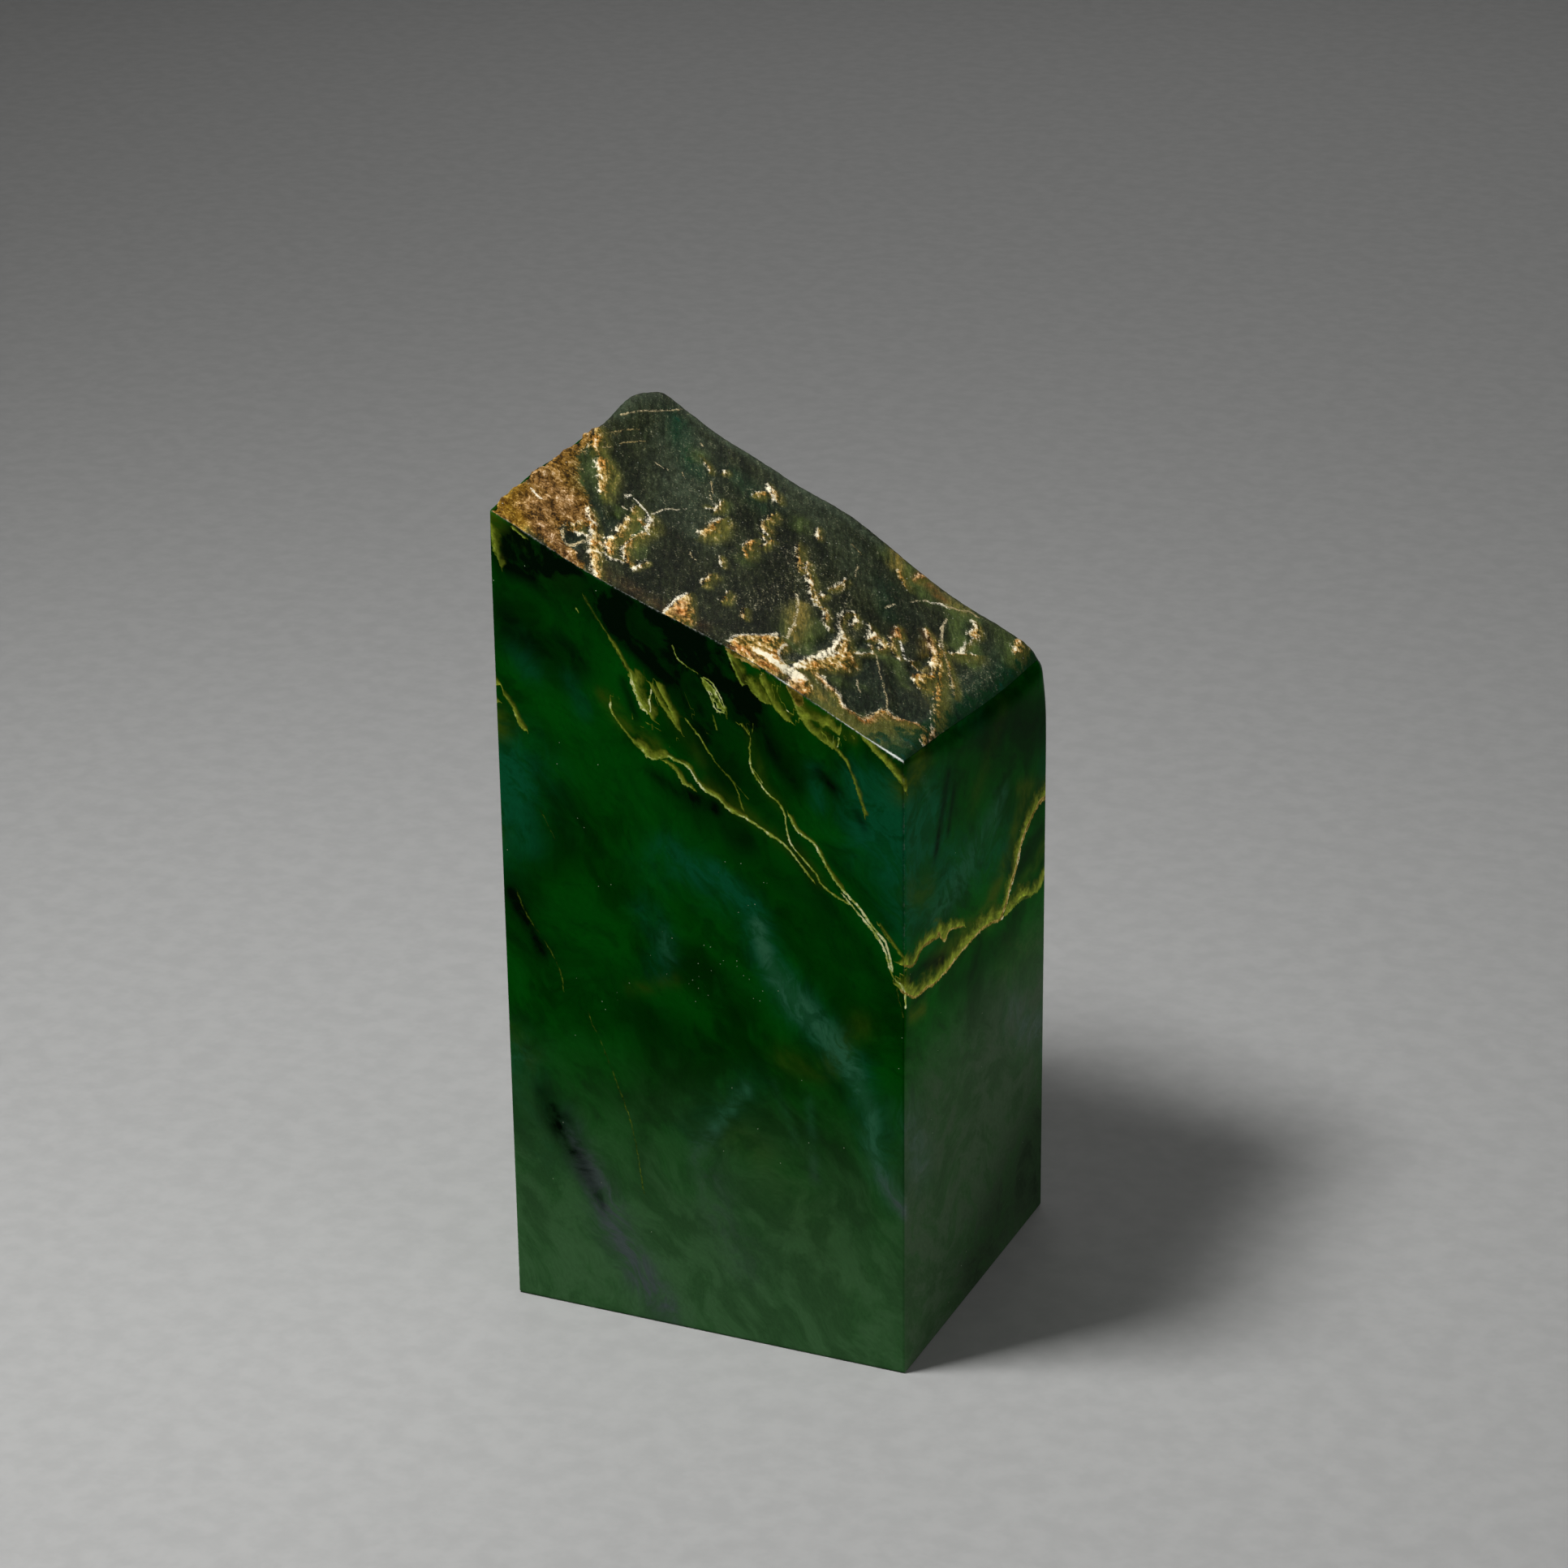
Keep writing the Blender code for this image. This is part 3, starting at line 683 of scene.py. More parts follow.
# Soft fields on the top, in the order in which the mesh holds them: a strength, a half width and a route
TOP_FIELDS = (
    # grey haze: a painted sheen
    [(.9, 3, [(-64, 61), (-30, 62), (0, 60), (40, 60)]), (.7, 3, [(-70, 56), (-71, 28)]),
     (.8, 10.5, [(-55, 45), (-42, 18), (-32, -4)]), (.7, 7.5, [(67, 45), (68, 20), (66, 0)]),
     (.4, 9, [(-20, 52), (10, 46)]), (.7, 8, [(66, -44), (63, -60)]), (.3, 7, [(36, 34), (14, 34)])],
    # dark
    [(.7, 7.5, [(-12, 34), (-6, 18), (-2, 2)]), (.6, 8.5, [(-30, -16), (-22, -34), (-20, -56)]),
     (.7, 6, [(2, -10), (6, -26), (10, -34), (4, -54)]), (.6, 4, [(26, 40), (42, 18)]),
     (.7, 3, [(-58, -60), (-52, -63)]), (.4, 5.5, [(-38, 4), (-34, -12)]),
     (.5, 2.5, [(38, 44), (44, 34)])],
    # olive
    [(.8, 4.5, [(24, 60), (36, 56), (48, 56)]), (.6, 4, [(60, 60), (68, 46)]),
     (.8, 2.5, [(-43, -19), (-40, -24), (-39, -32)]), (.8, 1.5, [(-48.5, -20), (-47, -24.5)]),
     (.6, 3, [(-47, 42), (-46.5, 38)]), (.6, 3, [(-9, 42), (-8, 37)]),
     (.7, 2.5, [(-34.5, -34), (-33, -40)]), (1, (3, 4.5, 3), [(13, -8), (20, -28), (24, -37)]),
     (.9, 3, [(43, -1), (52, -14)]), (.7, 4, [(18, 58), (34, 50)]), (1, 2.5, [(45, 52), (52.5, 32)]),
     (.9, 2, [(-23.5, 10), (-24, 1)]), (1, 4.5, [(44, -60), (50, -64), (58, -54)]),
     (1.4, 3.5, [(56, 38), (59, 28)]), (.5, 2, [(-28, 20), (-29, 24)]), (.5, 3, [(-12, 6), (-10, -2)]),
     (.9, 5, [(50, -62), (66, -44)]), (.5, 5.5, [(62, -66), (70, -58)]),
     (.6, 3, [(36, -53), (42, -56)]), (.7, 4.5, [(-66, 0), (-64, -14), (-60, -24)]),
     (.6, 2.5, [(60, 4), (70, -26)]), (.5, 3, [(66, 58), (70, 48)]),
     (.7, 4.5, [(20, -14), (22, -26), (26, -36)]), (.6, 3, [(34, -10), (40, -4)]),
     (.6, 3, [(46, -34), (40, -44)]), (.5, 2.5, [(-58, -10), (-54, -20)])],
    # gold
    [(.7, 2.5, [(57, -2), (57, -9)]), (.5, 2, [(46, 22), (53, 4)]), (.8, 2.5, [(19, 62), (22, 54)]),
     (.35, 3.5, [(30, 60), (44, 58)]), (1.2, 3.5, [(-74, -46), (-72, -60), (-66, -62), (-62, -67)]),
     (.7, 2, [(60, -45), (66, -39)]), (.9, (2, 3.5, 2), [(12, -6), (16, -18), (21, -34)]),
     (.8, 2, [(-24, 12), (-25, 0)]), (.6, 2.5, [(31, -20), (33, -36)]),
     (.5, 2, [(-36, -62), (-34, -68)]), (.8, 3, [(36, -57), (42, -60)]),
     (.35, 3, [(48, -63), (56, -66)]), (.6, 3, [(18, -50), (24, -61)]),
     (.4, 2.5, [(58, -16), (63, -20)])],
    # green
    [(.8, 4.5, [(-60, 52), (-54, 42), (-44, 30)]), (1.4, 10, [(76, 60), (76, 0), (74, -70)]),
     (.8, 7, [(68, -50), (64, -66)]), (1, 5, [(72, -56), (66, -66)]),
     (.7, 2, [(72.5, -8), (72.5, -15)]), (.5, 3.5, [(42, -22), (46, -34)]),
     (.4, 5.5, [(-34, 44), (-20, 36)]), (.5, 2, [(47, 52), (52, 36)]), (.5, 4, [(24, 40), (32, 24)])],
    # rust
    [(.35, 5.5, [(-68, -36), (-58, -38), (-64, -50)]), (.5, (4, 2), [(-58, -58), (-44, -65)]),
     (.1, 4, [(-36, -60), (-20, -62), (0, -62)]), (.9, (1.5, 3), [(-10, -52), (-8, -62)]),
     (.6, 2, [(44, 29), (49, 21)]), (.8, 1.5, [(37, 20), (38, 15)]),
     (.8, 1.5, [(13, -66), (16, -62), (30, -63)]),
     (.9, 1.5, [(66, -37), (57, -48), (56.5, -57), (50, -57)]), (.7, 1, [(42, -51), (36, -49)]),
     (.7, 2.5, [(34, -60), (37, -68)]), (.6, 2, [(71, -33), (72, -40)]),
     (.7, 1.5, [(28.5, 62), (28.5, 55)]), (.5, 3, [(30, 60), (38, 56)])],
    # cream
    [(1, (1.5, 3, 2.5), [(18.5, -58), (22.5, -57), (32, -59)]), (.5, 1.5, [(31, -24), (31, -36)]),
     (.6, 2, [(30, -58), (40, -52)]), (.6, 1.5, [(-69, -44), (-64, -45)]),
     (.5, 2, [(-62, -39), (-55, -35)]), (.5, 1.5, [(-71, -56), (-68, -54)]),
     (.5, 1, [(-52, -38), (-50, -37)]), (.4, 1.5, [(-70, -30), (-70, -30)])],
    # flecks
    [(.7, 5.5, [(-44, -44), (-36, -46)]), (1, 3, [(24, -34), (27, -50)]),
     (1, 3.5, [(24, 10), (28, -4), (29, -16)]), (.4, 13, [(-40, 30), (-24, 0)]),
     (.6, 7, [(66, 30), (64, 6)]), (.7, 8, [(0, 20), (8, 0), (2, -26)]), (.7, 4, [(18, 16), (12, 22)]),
     (.5, 4, [(-12, -50), (-4, -60)]), (.6, 4, [(14, -44), (12, -56)])],
)


def line_layers(is_top, sides, top):
    """The line layers. The top's lines share the first ones, because no place lies on both."""
    layers = []
    for number, marks in enumerate(SIDE_LINES):
        layer = no_lines(len(is_top))
        layer[~is_top] = line_layer(*sides, marks)
        if number < len(TOP_LINES):
            layer[is_top] = line_layer(*top, [(tone, 0, *mark) for tone, *mark in TOP_LINES[number]])
        layers.append(layer)
    return layers


def round_the_block(points):
    """How far round the block each place of the sides lies, from the middle of the front face."""
    x, y = points[:, 0], points[:, 1]
    faces = np.argmax(np.stack([-y / HALF_DEEP, x / HALF_WIDE, y / HALF_DEEP, -x / HALF_WIDE]), 0)
    right = HALF_WIDE + (y + HALF_DEEP)
    back = HALF_WIDE + DEEP + (HALF_WIDE - x)
    left = -HALF_WIDE - (y + HALF_DEEP)
    return np.choose(faces, [x, right, back, left])


def edge_highlights(x, y, depth):
    """How much painted highlight each place has on a sharp edge: the front of the top, and the front right
    corner.
    """
    strength = FRONT_EDGE_HIGHLIGHT + HIGHLIGHT_PEAK * np.exp(-((x - HIGHLIGHT_PEAK_PLACE) / HIGHLIGHT_PEAK_REACH) ** 2)
    for brightness, start, end in HIGHLIGHT_STRETCHES:
        strength = strength + brightness * smooth(x, start, end)
    width = 0.40 + 0.35 * smooth(x, 60, 71)
    front = np.exp(-(np.hypot(y + HALF_DEEP, depth) / width) ** 2) * smooth(x, HALF_WIDE + 1, HALF_WIDE)
    corner = np.exp(-(np.hypot(HALF_WIDE - x, y + HALF_DEEP) / 0.5) ** 2)
    upper = smooth(depth, *CORNER_HIGHLIGHT_DEPTHS) * smooth(depth, 1, 8)
    return np.maximum(strength * front, CORNER_HIGHLIGHT * corner * upper)


def side_floor_reflection(places, heights):
    """The painted reflection of the pale floor low in the sides: the right face has its own, and the others
    have the front's.
    """
    front = FRONT_REFLECTION_SHARE * smooth(heights, *FRONT_REFLECTION_HEIGHTS)
    right = RIGHT_REFLECTION_SHARE * smooth(heights, *RIGHT_REFLECTION_HEIGHTS)
    return np.where((places > HALF_WIDE) & (places < HALF_WIDE + DEEP), right, front)


def painted_face_light(places, heights, tilt):
    """How much paler each face is painted for the light it gets: the front is the darkest, the right one the
    palest.
    The faces get a painted shade where they turn up to the top."""
    turn = 0.5
    ends = HALF_WIDE + DEEP
    right = smooth(places, HALF_WIDE - turn, HALF_WIDE + turn) * smooth(places, ends + turn, ends - turn)
    back = smooth(places, ends - turn, ends + turn)
    left = smooth(places, -HALF_WIDE + turn, -HALF_WIDE - turn)
    lower, upper = RIGHT_FACE_LIGHT
    right = right * (lower + (upper - lower) * smooth(heights, *RIGHT_FACE_LIGHT_HEIGHTS))
    paler = right + BACK_LEFT_FACE_LIGHT * (back + left)
    return (1.0 + paler * smooth(-tilt, -0.6, -0.1)) * (1.0 - TILT_PAINTED_SHADE * smooth(tilt, 0.1, 0.7))


def bumps(points, numbers, size, shift):
    """Bumps of one size at the numbered places, from -1 to 1."""
    heights = np.zeros(len(points))
    for number in numbers:
        heights[number] = noise.noise(Vector(points[number]) / size + Vector(shift))
    return heights


def relief(points, way, inside):
    """How far the fine relief of the top moves each place outwards, in millimetres."""
    skin = smooth(way[:, 2], 0.15, 0.7)
    found = np.nonzero(skin > 0.001)[0]
    rough = smooth(inside["rind"], -2.0, 2.5)
    raised = smooth(inside["crust"], -0.6, 0.8)
    sunk = smooth(inside["hollow"], -1.0, 2.0)
    left = smooth(-points[:, 0], HALF_WIDE - KNOB_STRIP, HALF_WIDE - 1)
    moved = CRUST_RISE * raised - HOLLOW_DROP * sunk - RIND_DROP * rough
    for *kind, on_skin, on_rind, on_crust in BUMPS:
        moved += bumps(points, found, *kind) * (on_skin + on_rind * rough + on_crust * raised)
    *kind, height = CRAGS
    moved += height * np.abs(bumps(points, found, *kind)) * rough
    *kind, height = KNOBS
    moved += (KNOB_RISE + height * bumps(points, found, *kind)) * left * rough
    return np.where(skin > 0.001, moved * skin, 0.0)


def set_values(mesh, name, values):
    """Gives the mesh four numbers at each vertex."""
    attribute = mesh.attributes.new(name, "FLOAT_COLOR", "POINT")
    attribute.data.foreach_set("color", np.asarray(values, np.float32).ravel())


def soft_fields(is_top, sides, top, tilt):
    """The eight soft fields of the sides and, in the same columns, the eight of the top."""
    fields = np.zeros((len(is_top), 8))
    for column, marks in enumerate((TEAL, PALE, DARK_AND_REFLECTED_SHADOW, OLIVE, BRIGHT, SPECKS)):
        fields[~is_top, column] = clouds(*sides, marks)
    fields[~is_top, 6] = side_floor_reflection(*sides)
    fields[~is_top, 7] = painted_face_light(*sides, tilt[~is_top])
    for column, marks in enumerate(TOP_FIELDS):
        fields[is_top, column] = clouds(*top, marks)
    return fields


def block_surface():
    """The block as one mesh, which holds its marks as values at its vertices."""
    (x, y, depth), faces, base, top_count = block_places()
    points, way = rounded(x, y, depth)
    is_top = np.arange(len(x)) < top_count
    top = points[is_top, 0], points[is_top, 1]
    sides = round_the_block(points)[~is_top], points[~is_top, 2]
    inside = {name: np.full(len(x), NO_PATCH) for name in ("crust", "hollow", "rind")}
    tone, side = np.zeros(len(x)), np.zeros(len(x))
    inside["crust"][is_top], tone[is_top], side[is_top] = patches(*top, CRUST)
    for name, marks in (("hollow", HOLLOWS), ("rind", RIND)):
        inside[name][is_top] = patches(*top, [(0, 0, *mark) for mark in marks])[0]
    fields = soft_fields(is_top, sides, top, way[:, 2])
    nothing = np.zeros(len(x))
    values = {f"lines_{number}": layer for number, layer in enumerate(line_layers(is_top, sides, top), 1)}
    values["crust"] = np.column_stack([inside["crust"], tone, side, inside["hollow"]])
    values["edges"] = np.column_stack([inside["rind"], edge_highlights(x, y, depth), nothing, nothing])
    values["fields_1"], values["fields_2"] = fields[:, :4], fields[:, 4:]
    points = points + way * relief(points, way, inside)[:, None]

    mesh = bpy.data.meshes.new("jade_block_surface")
    mesh.from_pydata((points * MM).tolist(), [], faces.tolist() + [base[::-1].tolist()])
    mesh.polygons.foreach_set("use_smooth", [True] * len(mesh.polygons))
    mesh.materials.append(polished())
    mesh.materials.append(skin())
    mesh.polygons.foreach_set("material_index", is_top[faces].all(1).astype(int).tolist() + [0])
    mesh.update()
    for name, numbers in values.items():
        set_values(mesh, name, numbers)
    block = bpy.data.objects.new("jade_block_surface", mesh)
    bpy.context.scene.collection.objects.link(block)
    return block


# ---------------------------------------------------------------- nodes
#
# In the functions that make materials, n is the material's Nodes, and s holds the marks and textures of the
# top. A step goes from 0 at its first number to 1 at its second.

# Soft random textures: spots to a millimetre, detail, roughness and, for some, distortion
TEXTURES = {
    "swirl": (0.024, 2, 0.50),
    "wander": (0.16, 3, 0.60),
    "jitter": (0.75, 4, 0.65),
    "broad": (0.022, 3, 0.55),
    "clouds": (0.060, 6, 0.58),
    "wisps": (0.110, 6, 0.62, 0.6),
    "seams": (0.045, 6, 0.60),
    "fine": (0.55, 4, 0.70),
    "streaks": (0.30, 5, 0.68),
    "vein_crumbs": (0.6, 4, 0.65),
    "vein_stretches": (0.13, 2, 0.50),
    "grit": (1.5, 3, 0.70),
    "lumps": (0.34, 4, 0.65),
    "fibres": (0.85, 4, 0.65),
    "bands": (0.20, 3, 0.60),
    "scratches": (0.42, 5, 0.70, 0.8),
    "ridges": (0.22, 5, 0.60, 0.6),
    "floor": (0.09, 3, 0.60),
}


class Value:
    """What one node gives. Sums, products and comparisons of values make the nodes that work them out."""

    def __init__(self, nodes, socket):
        self.nodes = nodes
        self.socket = socket

    def __add__(self, other):
        return self.nodes.math("ADD", self, other)

    def __sub__(self, other):
        return self.nodes.math("SUBTRACT", self, other)

    def __rsub__(self, other):
        return self.nodes.math("SUBTRACT", other, self)

    def __mul__(self, other):
        return self.nodes.math("MULTIPLY", self, other)

    def __truediv__(self, other):
        return self.nodes.math("DIVIDE", self, other)

    def __abs__(self):
        return self.nodes.math("ABSOLUTE", self)

    def __gt__(self, other):
        return self.nodes.math("GREATER_THAN", self, other)

    def __lt__(self, other):
        return self.nodes.math("LESS_THAN", self, other)

    def clamped(self):
        """The same value, held between 0 and 1."""
        self.socket.node.use_clamp = True
        return self


class Nodes:
    """Short ways to add and join the nodes of one material."""

    def __init__(self, name):
        self.material = bpy.data.materials.new(name)
        self.material.use_nodes = True
        self.tree = self.material.node_tree
        self.shader = self.tree.nodes["Principled BSDF"]

    def put(self, socket, value):
        """Links a value to the socket, or sets a plain number or vector on it."""
        if isinstance(value, Value):
            self.tree.links.new(value.socket, socket)
        elif value is not None:
            socket.default_value = value

    def shade(self, **values):
        """Gives the shader's inputs their values, named as they are but with _ for each space."""
        for name, value in values.items():
            self.put(self.shader.inputs[name.replace("_", " ")], value)

    def made(self, kind, values=(), output=0, **settings):
        """What a new node gives, with its settings and its first inputs set."""
        node = self.tree.nodes.new(kind)
        for name, setting in settings.items():
            setattr(node, name, setting)
        for socket, value in zip(node.inputs, values):
            self.put(socket, value)
        return Value(self, node.outputs[output])

    def math(self, operation, first, second=None):
        return self.made("ShaderNodeMath", (first, second), operation=operation)

    def larger(self, first, second):
        return self.math("MAXIMUM", first, second)

    def dot(self, first, second):
        return self.made("ShaderNodeVectorMath", (first, second), "Value", operation="DOT_PRODUCT")

    def sum(self, first, second):
        return self.made("ShaderNodeVectorMath", (first, second), operation="ADD")

    def scaled(self, value, factor):
        result = self.made("ShaderNodeVectorMath", (value,), operation="SCALE")
        self.put(result.socket.node.inputs["Scale"], factor)
        return result

    def lighter(self, colour, doublings):
        """The colour, doubled this many times."""
        return self.scaled(colour, self.math("POWER", 2.0, doublings))

    def place(self):
        """The place on the object, in the block's millimetres."""
        return self.scaled(self.made("ShaderNodeTexCoord", output="Object"), 1.0 / MM)

    def attribute(self, name):
        """The four numbers that the mesh holds under this name."""
        colour = self.made("ShaderNodeAttribute", output="Color", attribute_name=name)
        return (*self.split(colour), Value(self, colour.socket.node.outputs["Alpha"]))

    def split(self, value):
        node = self.made("ShaderNodeSeparateXYZ", (value,)).socket.node
        return [Value(self, output) for output in node.outputs]

    def join(self, x, y, z):
        return self.made("ShaderNodeCombineXYZ", (x, y, z))

    def noise(self, where, name, output="Fac"):
        """One of the soft random textures, from 0 to 1."""
        texture = self.made("ShaderNodeTexNoise", output=output)
        inputs = texture.socket.node.inputs
        self.put(inputs["Vector"], where)
        for setting, value in zip(("Scale", "Detail", "Roughness", "Distortion"), TEXTURES[name]):
            self.put(inputs[setting], value)
        return texture

    def swing(self, where, name):
        """One of the textures, moved to swing about zero."""
        return self.noise(where, name) - 0.5

    def drift(self, where, name):
        """Three such textures at once, as a vector."""
        return self.sum(self.noise(where, name, "Color"), (-0.5, -0.5, -0.5))

    def dots(self, where, scale, chance, least, spread):
        """Round dots, one to a cell where a random number is under the chance, with their least size and the
        spread of their sizes."""
        colour = self.made("ShaderNodeTexVoronoi", output="Color")
        cells = colour.socket.node
        self.put(cells.inputs["Vector"], where)
        self.put(cells.inputs["Scale"], scale)
        random, size, _ = self.split(colour)
        return (chance > random) * (Value(self, cells.outputs["Distance"]) < size * spread + least)

    def mix(self, share, first, second, kind="MIX"):
        """One colour, then the other as the share goes from 0 to 1."""
        mixed = self.made("ShaderNodeMix", (share,), 2, data_type="RGBA", blend_type=kind)
        inputs = mixed.socket.node.inputs
        for socket, value in ((inputs[6], first), (inputs[7], second)):
            self.put(socket, (*value, 1.0) if isinstance(value, tuple) else value)
        return mixed

    def step(self, value, low, high):
        """0 at low, 1 at high, smooth between."""
        return self.made("ShaderNodeMapRange", (value, low, high), interpolation_type="SMOOTHSTEP")

    def ramp(self, value, stops):
        """A colour from the stops, which are places from 0 to 1 and their colours."""
        result = self.made("ShaderNodeValToRGB", (value,))
        elements = result.socket.node.color_ramp.elements
        while len(elements) < len(stops):
            elements.new(0.5)
        for element, (place, colour) in zip(elements, stops):
            element.position = place
            element.color = (*colour, 1.0)
        return result


# ---------------------------------------------------------------- sides

# The stone's layers, and two ways across them. The layers' textures are squeezed across the layers and bent
# by a broad swirl.
GRAIN = Vector((0.76, 0.27, 0.59)).normalized()
GRAIN_DOWN = GRAIN.cross(Vector((0, 1, 0))).normalized()
GRAIN_ALONG = GRAIN.cross(GRAIN_DOWN).normalized()
LAYER_SQUEEZE = 2.0
SWIRL = 34.0

# How far the veins sway and shake, in millimetres
VEIN_BEND = (1.5, 1.3)

# The polish
POLISH_ROUGHNESS = 0.14
POLISH_IOR = 1.07
POLISH_LEVEL = 0.15

# Colours of the sides, as linear red, green and blue
DEEP_GREEN = (0.0006, 0.030, 0.0006)
FULL_GREEN = (0.0008, 0.066, 0.0020)
LIGHTER_CLOUD = (0.0016, 0.078, 0.0040)
DARKER_CLOUD = (0.0006, 0.016, 0.0008)
BRIGHT_CLOUD = (0.0010, 0.070, 0.0030)
SEAM_GREEN = (0.0005, 0.010, 0.0006)
TEAL_CLOUD = (0.0030, 0.078, 0.0270)
OLIVE_CLOUD = (0.0360, 0.070, 0.0030)
# Painted reflection of the floor, low on the front and on the right face
FRONT_FLOOR_REFLECTION = (0.056, 0.145, 0.054)
RIGHT_FLOOR_REFLECTION = (0.040, 0.070, 0.036)
PALE_CLOUD = (0.026, 0.125, 0.058)
# Pale clouds where the painted reflection of the floor lies over them
PALE_IN_FLOOR_REFLECTION = (0.072, 0.100, 0.092)
# Dark clouds, and the painted reflected shadow low on the right face
DARK_CLOUD_AND_SHADOW = (0.0006, 0.0046, 0.0010)
GLOW_EDGE = (0.040, 0.056, 0.002)
GLOW_HEART = (0.25, 0.31, 0.028)
SIDE_SPECK = (0.42, 0.50, 0.34)
# Painted highlight on the sharp edges
EDGE_HIGHLIGHT = (0.78, 0.82, 0.76)
VEIN_COLOURS = (
    (0.0, (0.010, 0.026, 0.002)),
    (0.30, (0.080, 0.125, 0.008)),
    (0.60, (0.22, 0.29, 0.028)),
    (0.85, (0.44, 0.54, 0.12)),
    (1.0, (0.80, 0.84, 0.42)),
)
TAN_COLOURS = (
    (0.0, (0.036, 0.034, 0.003)),
    (0.30, (0.12, 0.095, 0.010)),
    (0.60, (0.31, 0.225, 0.040)),
    (0.85, (0.54, 0.43, 0.14)),
    (1.0, (0.86, 0.78, 0.48)),
)


def polished():
    """The sides: deep green clouds under a polish, crossed by olive and cream veins, with the floor's
    reflection painted low down, each face painted paler or darker for its light, and a painted highlight on
    the sharp edges.
    """
    n = Nodes("polished_jade")
    place = n.place()
    swirled = n.sum(place, n.scaled(n.drift(place, "swirl"), SWIRL))
    across = n.dot(swirled, GRAIN) * LAYER_SQUEEZE
    layered = n.join(across, n.dot(swirled, GRAIN_DOWN), n.dot(swirled, GRAIN_ALONG))
    teal, pale, dark, olive = n.attribute("fields_1")
    bright, specks, floor_reflection, face_light = n.attribute("fields_2")
    _, worn, _, _ = n.attribute("edges")
    wander = n.split(n.drift(place, "wander"))
    jitter = n.swing(place, "jitter")

    vein, tone, glow = line_masks(n, len(SIDE_LINES), wander, jitter, *VEIN_BEND)
    body = body_colour(n, layered, (teal, pale, dark, olive, bright, floor_reflection, face_light))
    lit = (n.step(glow, 0.0, 0.8) * (wander[0] * 2.4 + 0.95)).clamped()
    lit = lit * (n.step(dark, 0.55, 0.95) * -0.7 + 1.0)
    body = n.mix(lit, body, glow_colour(n, layered, glow))
    kept = n.step(tone * 0.35 + wander[1], -0.08, 0.10)
    body = n.mix(vein * kept, body, vein_colour(n, place, tone))
    body = n.mix(n.dots(place, 0.85, specks * 0.40 + 0.004, 0.04, 0.10), body, SIDE_SPECK)
    # Painted light: each face is made paler or darker for the light it gets
    body = n.scaled(body, face_light)
    # Painted highlight on the sharp edges
    body = n.mix(highlighted(n, worn, jitter), body, EDGE_HIGHLIGHT)
    n.shade(Base_Color=body, Roughness=POLISH_ROUGHNESS, IOR=POLISH_IOR, Specular_IOR_Level=POLISH_LEVEL)
    return n.material


def blended(share, first, second):
    """One value, then the other as the share goes from 0 to 1."""
    return first + (second - first) * share


def highlighted(n, worn, jitter):
    """The painted edge highlight's share, broken up where it is faint."""
    return worn * n.step(worn + jitter * 2.4, -0.05, 0.6)


def line_masks(n, count, wander, jitter, sway, shake):
    """The lines' mask, their tone, and the glow on one side of them. Sway and shake bend them."""
    line, tone, glow = None, None, None
    for number in range(count):
        signed, half, layer_tone, reach = n.attribute(f"lines_{number + 1}")
        bend, swell = wander[number % 2], wander[1 - number % 2]
        moved = signed + (bend * sway + jitter * shake)
        width = half * n.larger(swell * 2.4 + (jitter * 2.0 + 1.0), 0.2)
        inside = width - abs(moved)
        mask = n.step(inside, -0.20, 0.14)
        # A wide line is darker inside its edge, most of all on its side without a glow.
        core = n.step(inside, 0.3, 1.3) * n.step(moved, 1.2, -1.6)
        layer_tone = layer_tone - core * 0.1 - n.step(inside, 0.2, 1.0) * 0.22
        # The glow fades out from the line to a ragged reach.
        torn = reach * (jitter * 1.2 + (wander[0] * 1.8 + 0.95))
        fill = (1.0 - moved / n.larger(torn, 0.01)).clamped()
        fill = fill * n.step(moved, -0.4, 0.1) * n.step(reach, 0.05, 0.4)
        if line is None:
            line, tone, glow = mask, layer_tone, fill
        else:
            tone = blended(mask > line, tone, layer_tone)
            line = n.larger(line, mask)
            glow = n.larger(glow, fill)
    return line, tone, glow


def glow_colour(n, layered, glow):
    """The flames beside the veins, streaked along the stone's layers."""
    flame = n.mix(glow * glow, GLOW_EDGE, GLOW_HEART)
    return n.lighter(flame, n.noise(layered, "streaks") * 5.0 - 2.4)


def vein_colour(n, place, tone):
    """Olive to cream, or the tan of the weathered veins where the tone has 2 added to it."""
    tanned = n.step(tone, 1.3, 1.7)
    tone = (tone - tanned * 2.0) * 1.12 - 0.12
    swing = n.noise(place, "vein_crumbs") * 1.5 + n.noise(place, "vein_stretches") * 1.1
    shade = (swing - 1.22 + tone).clamped()
    return n.mix(tanned, n.ramp(shade, VEIN_COLOURS), n.ramp(shade, TAN_COLOURS))


def wispy(n, field, source, calm=0.35):
    """The field, torn into wisps by a texture. The calmer it is, the more evenly it lies."""
    return (field * (n.step(source, 0.40, 0.62) * (1.7 * (1 - calm)) + calm)).clamped()


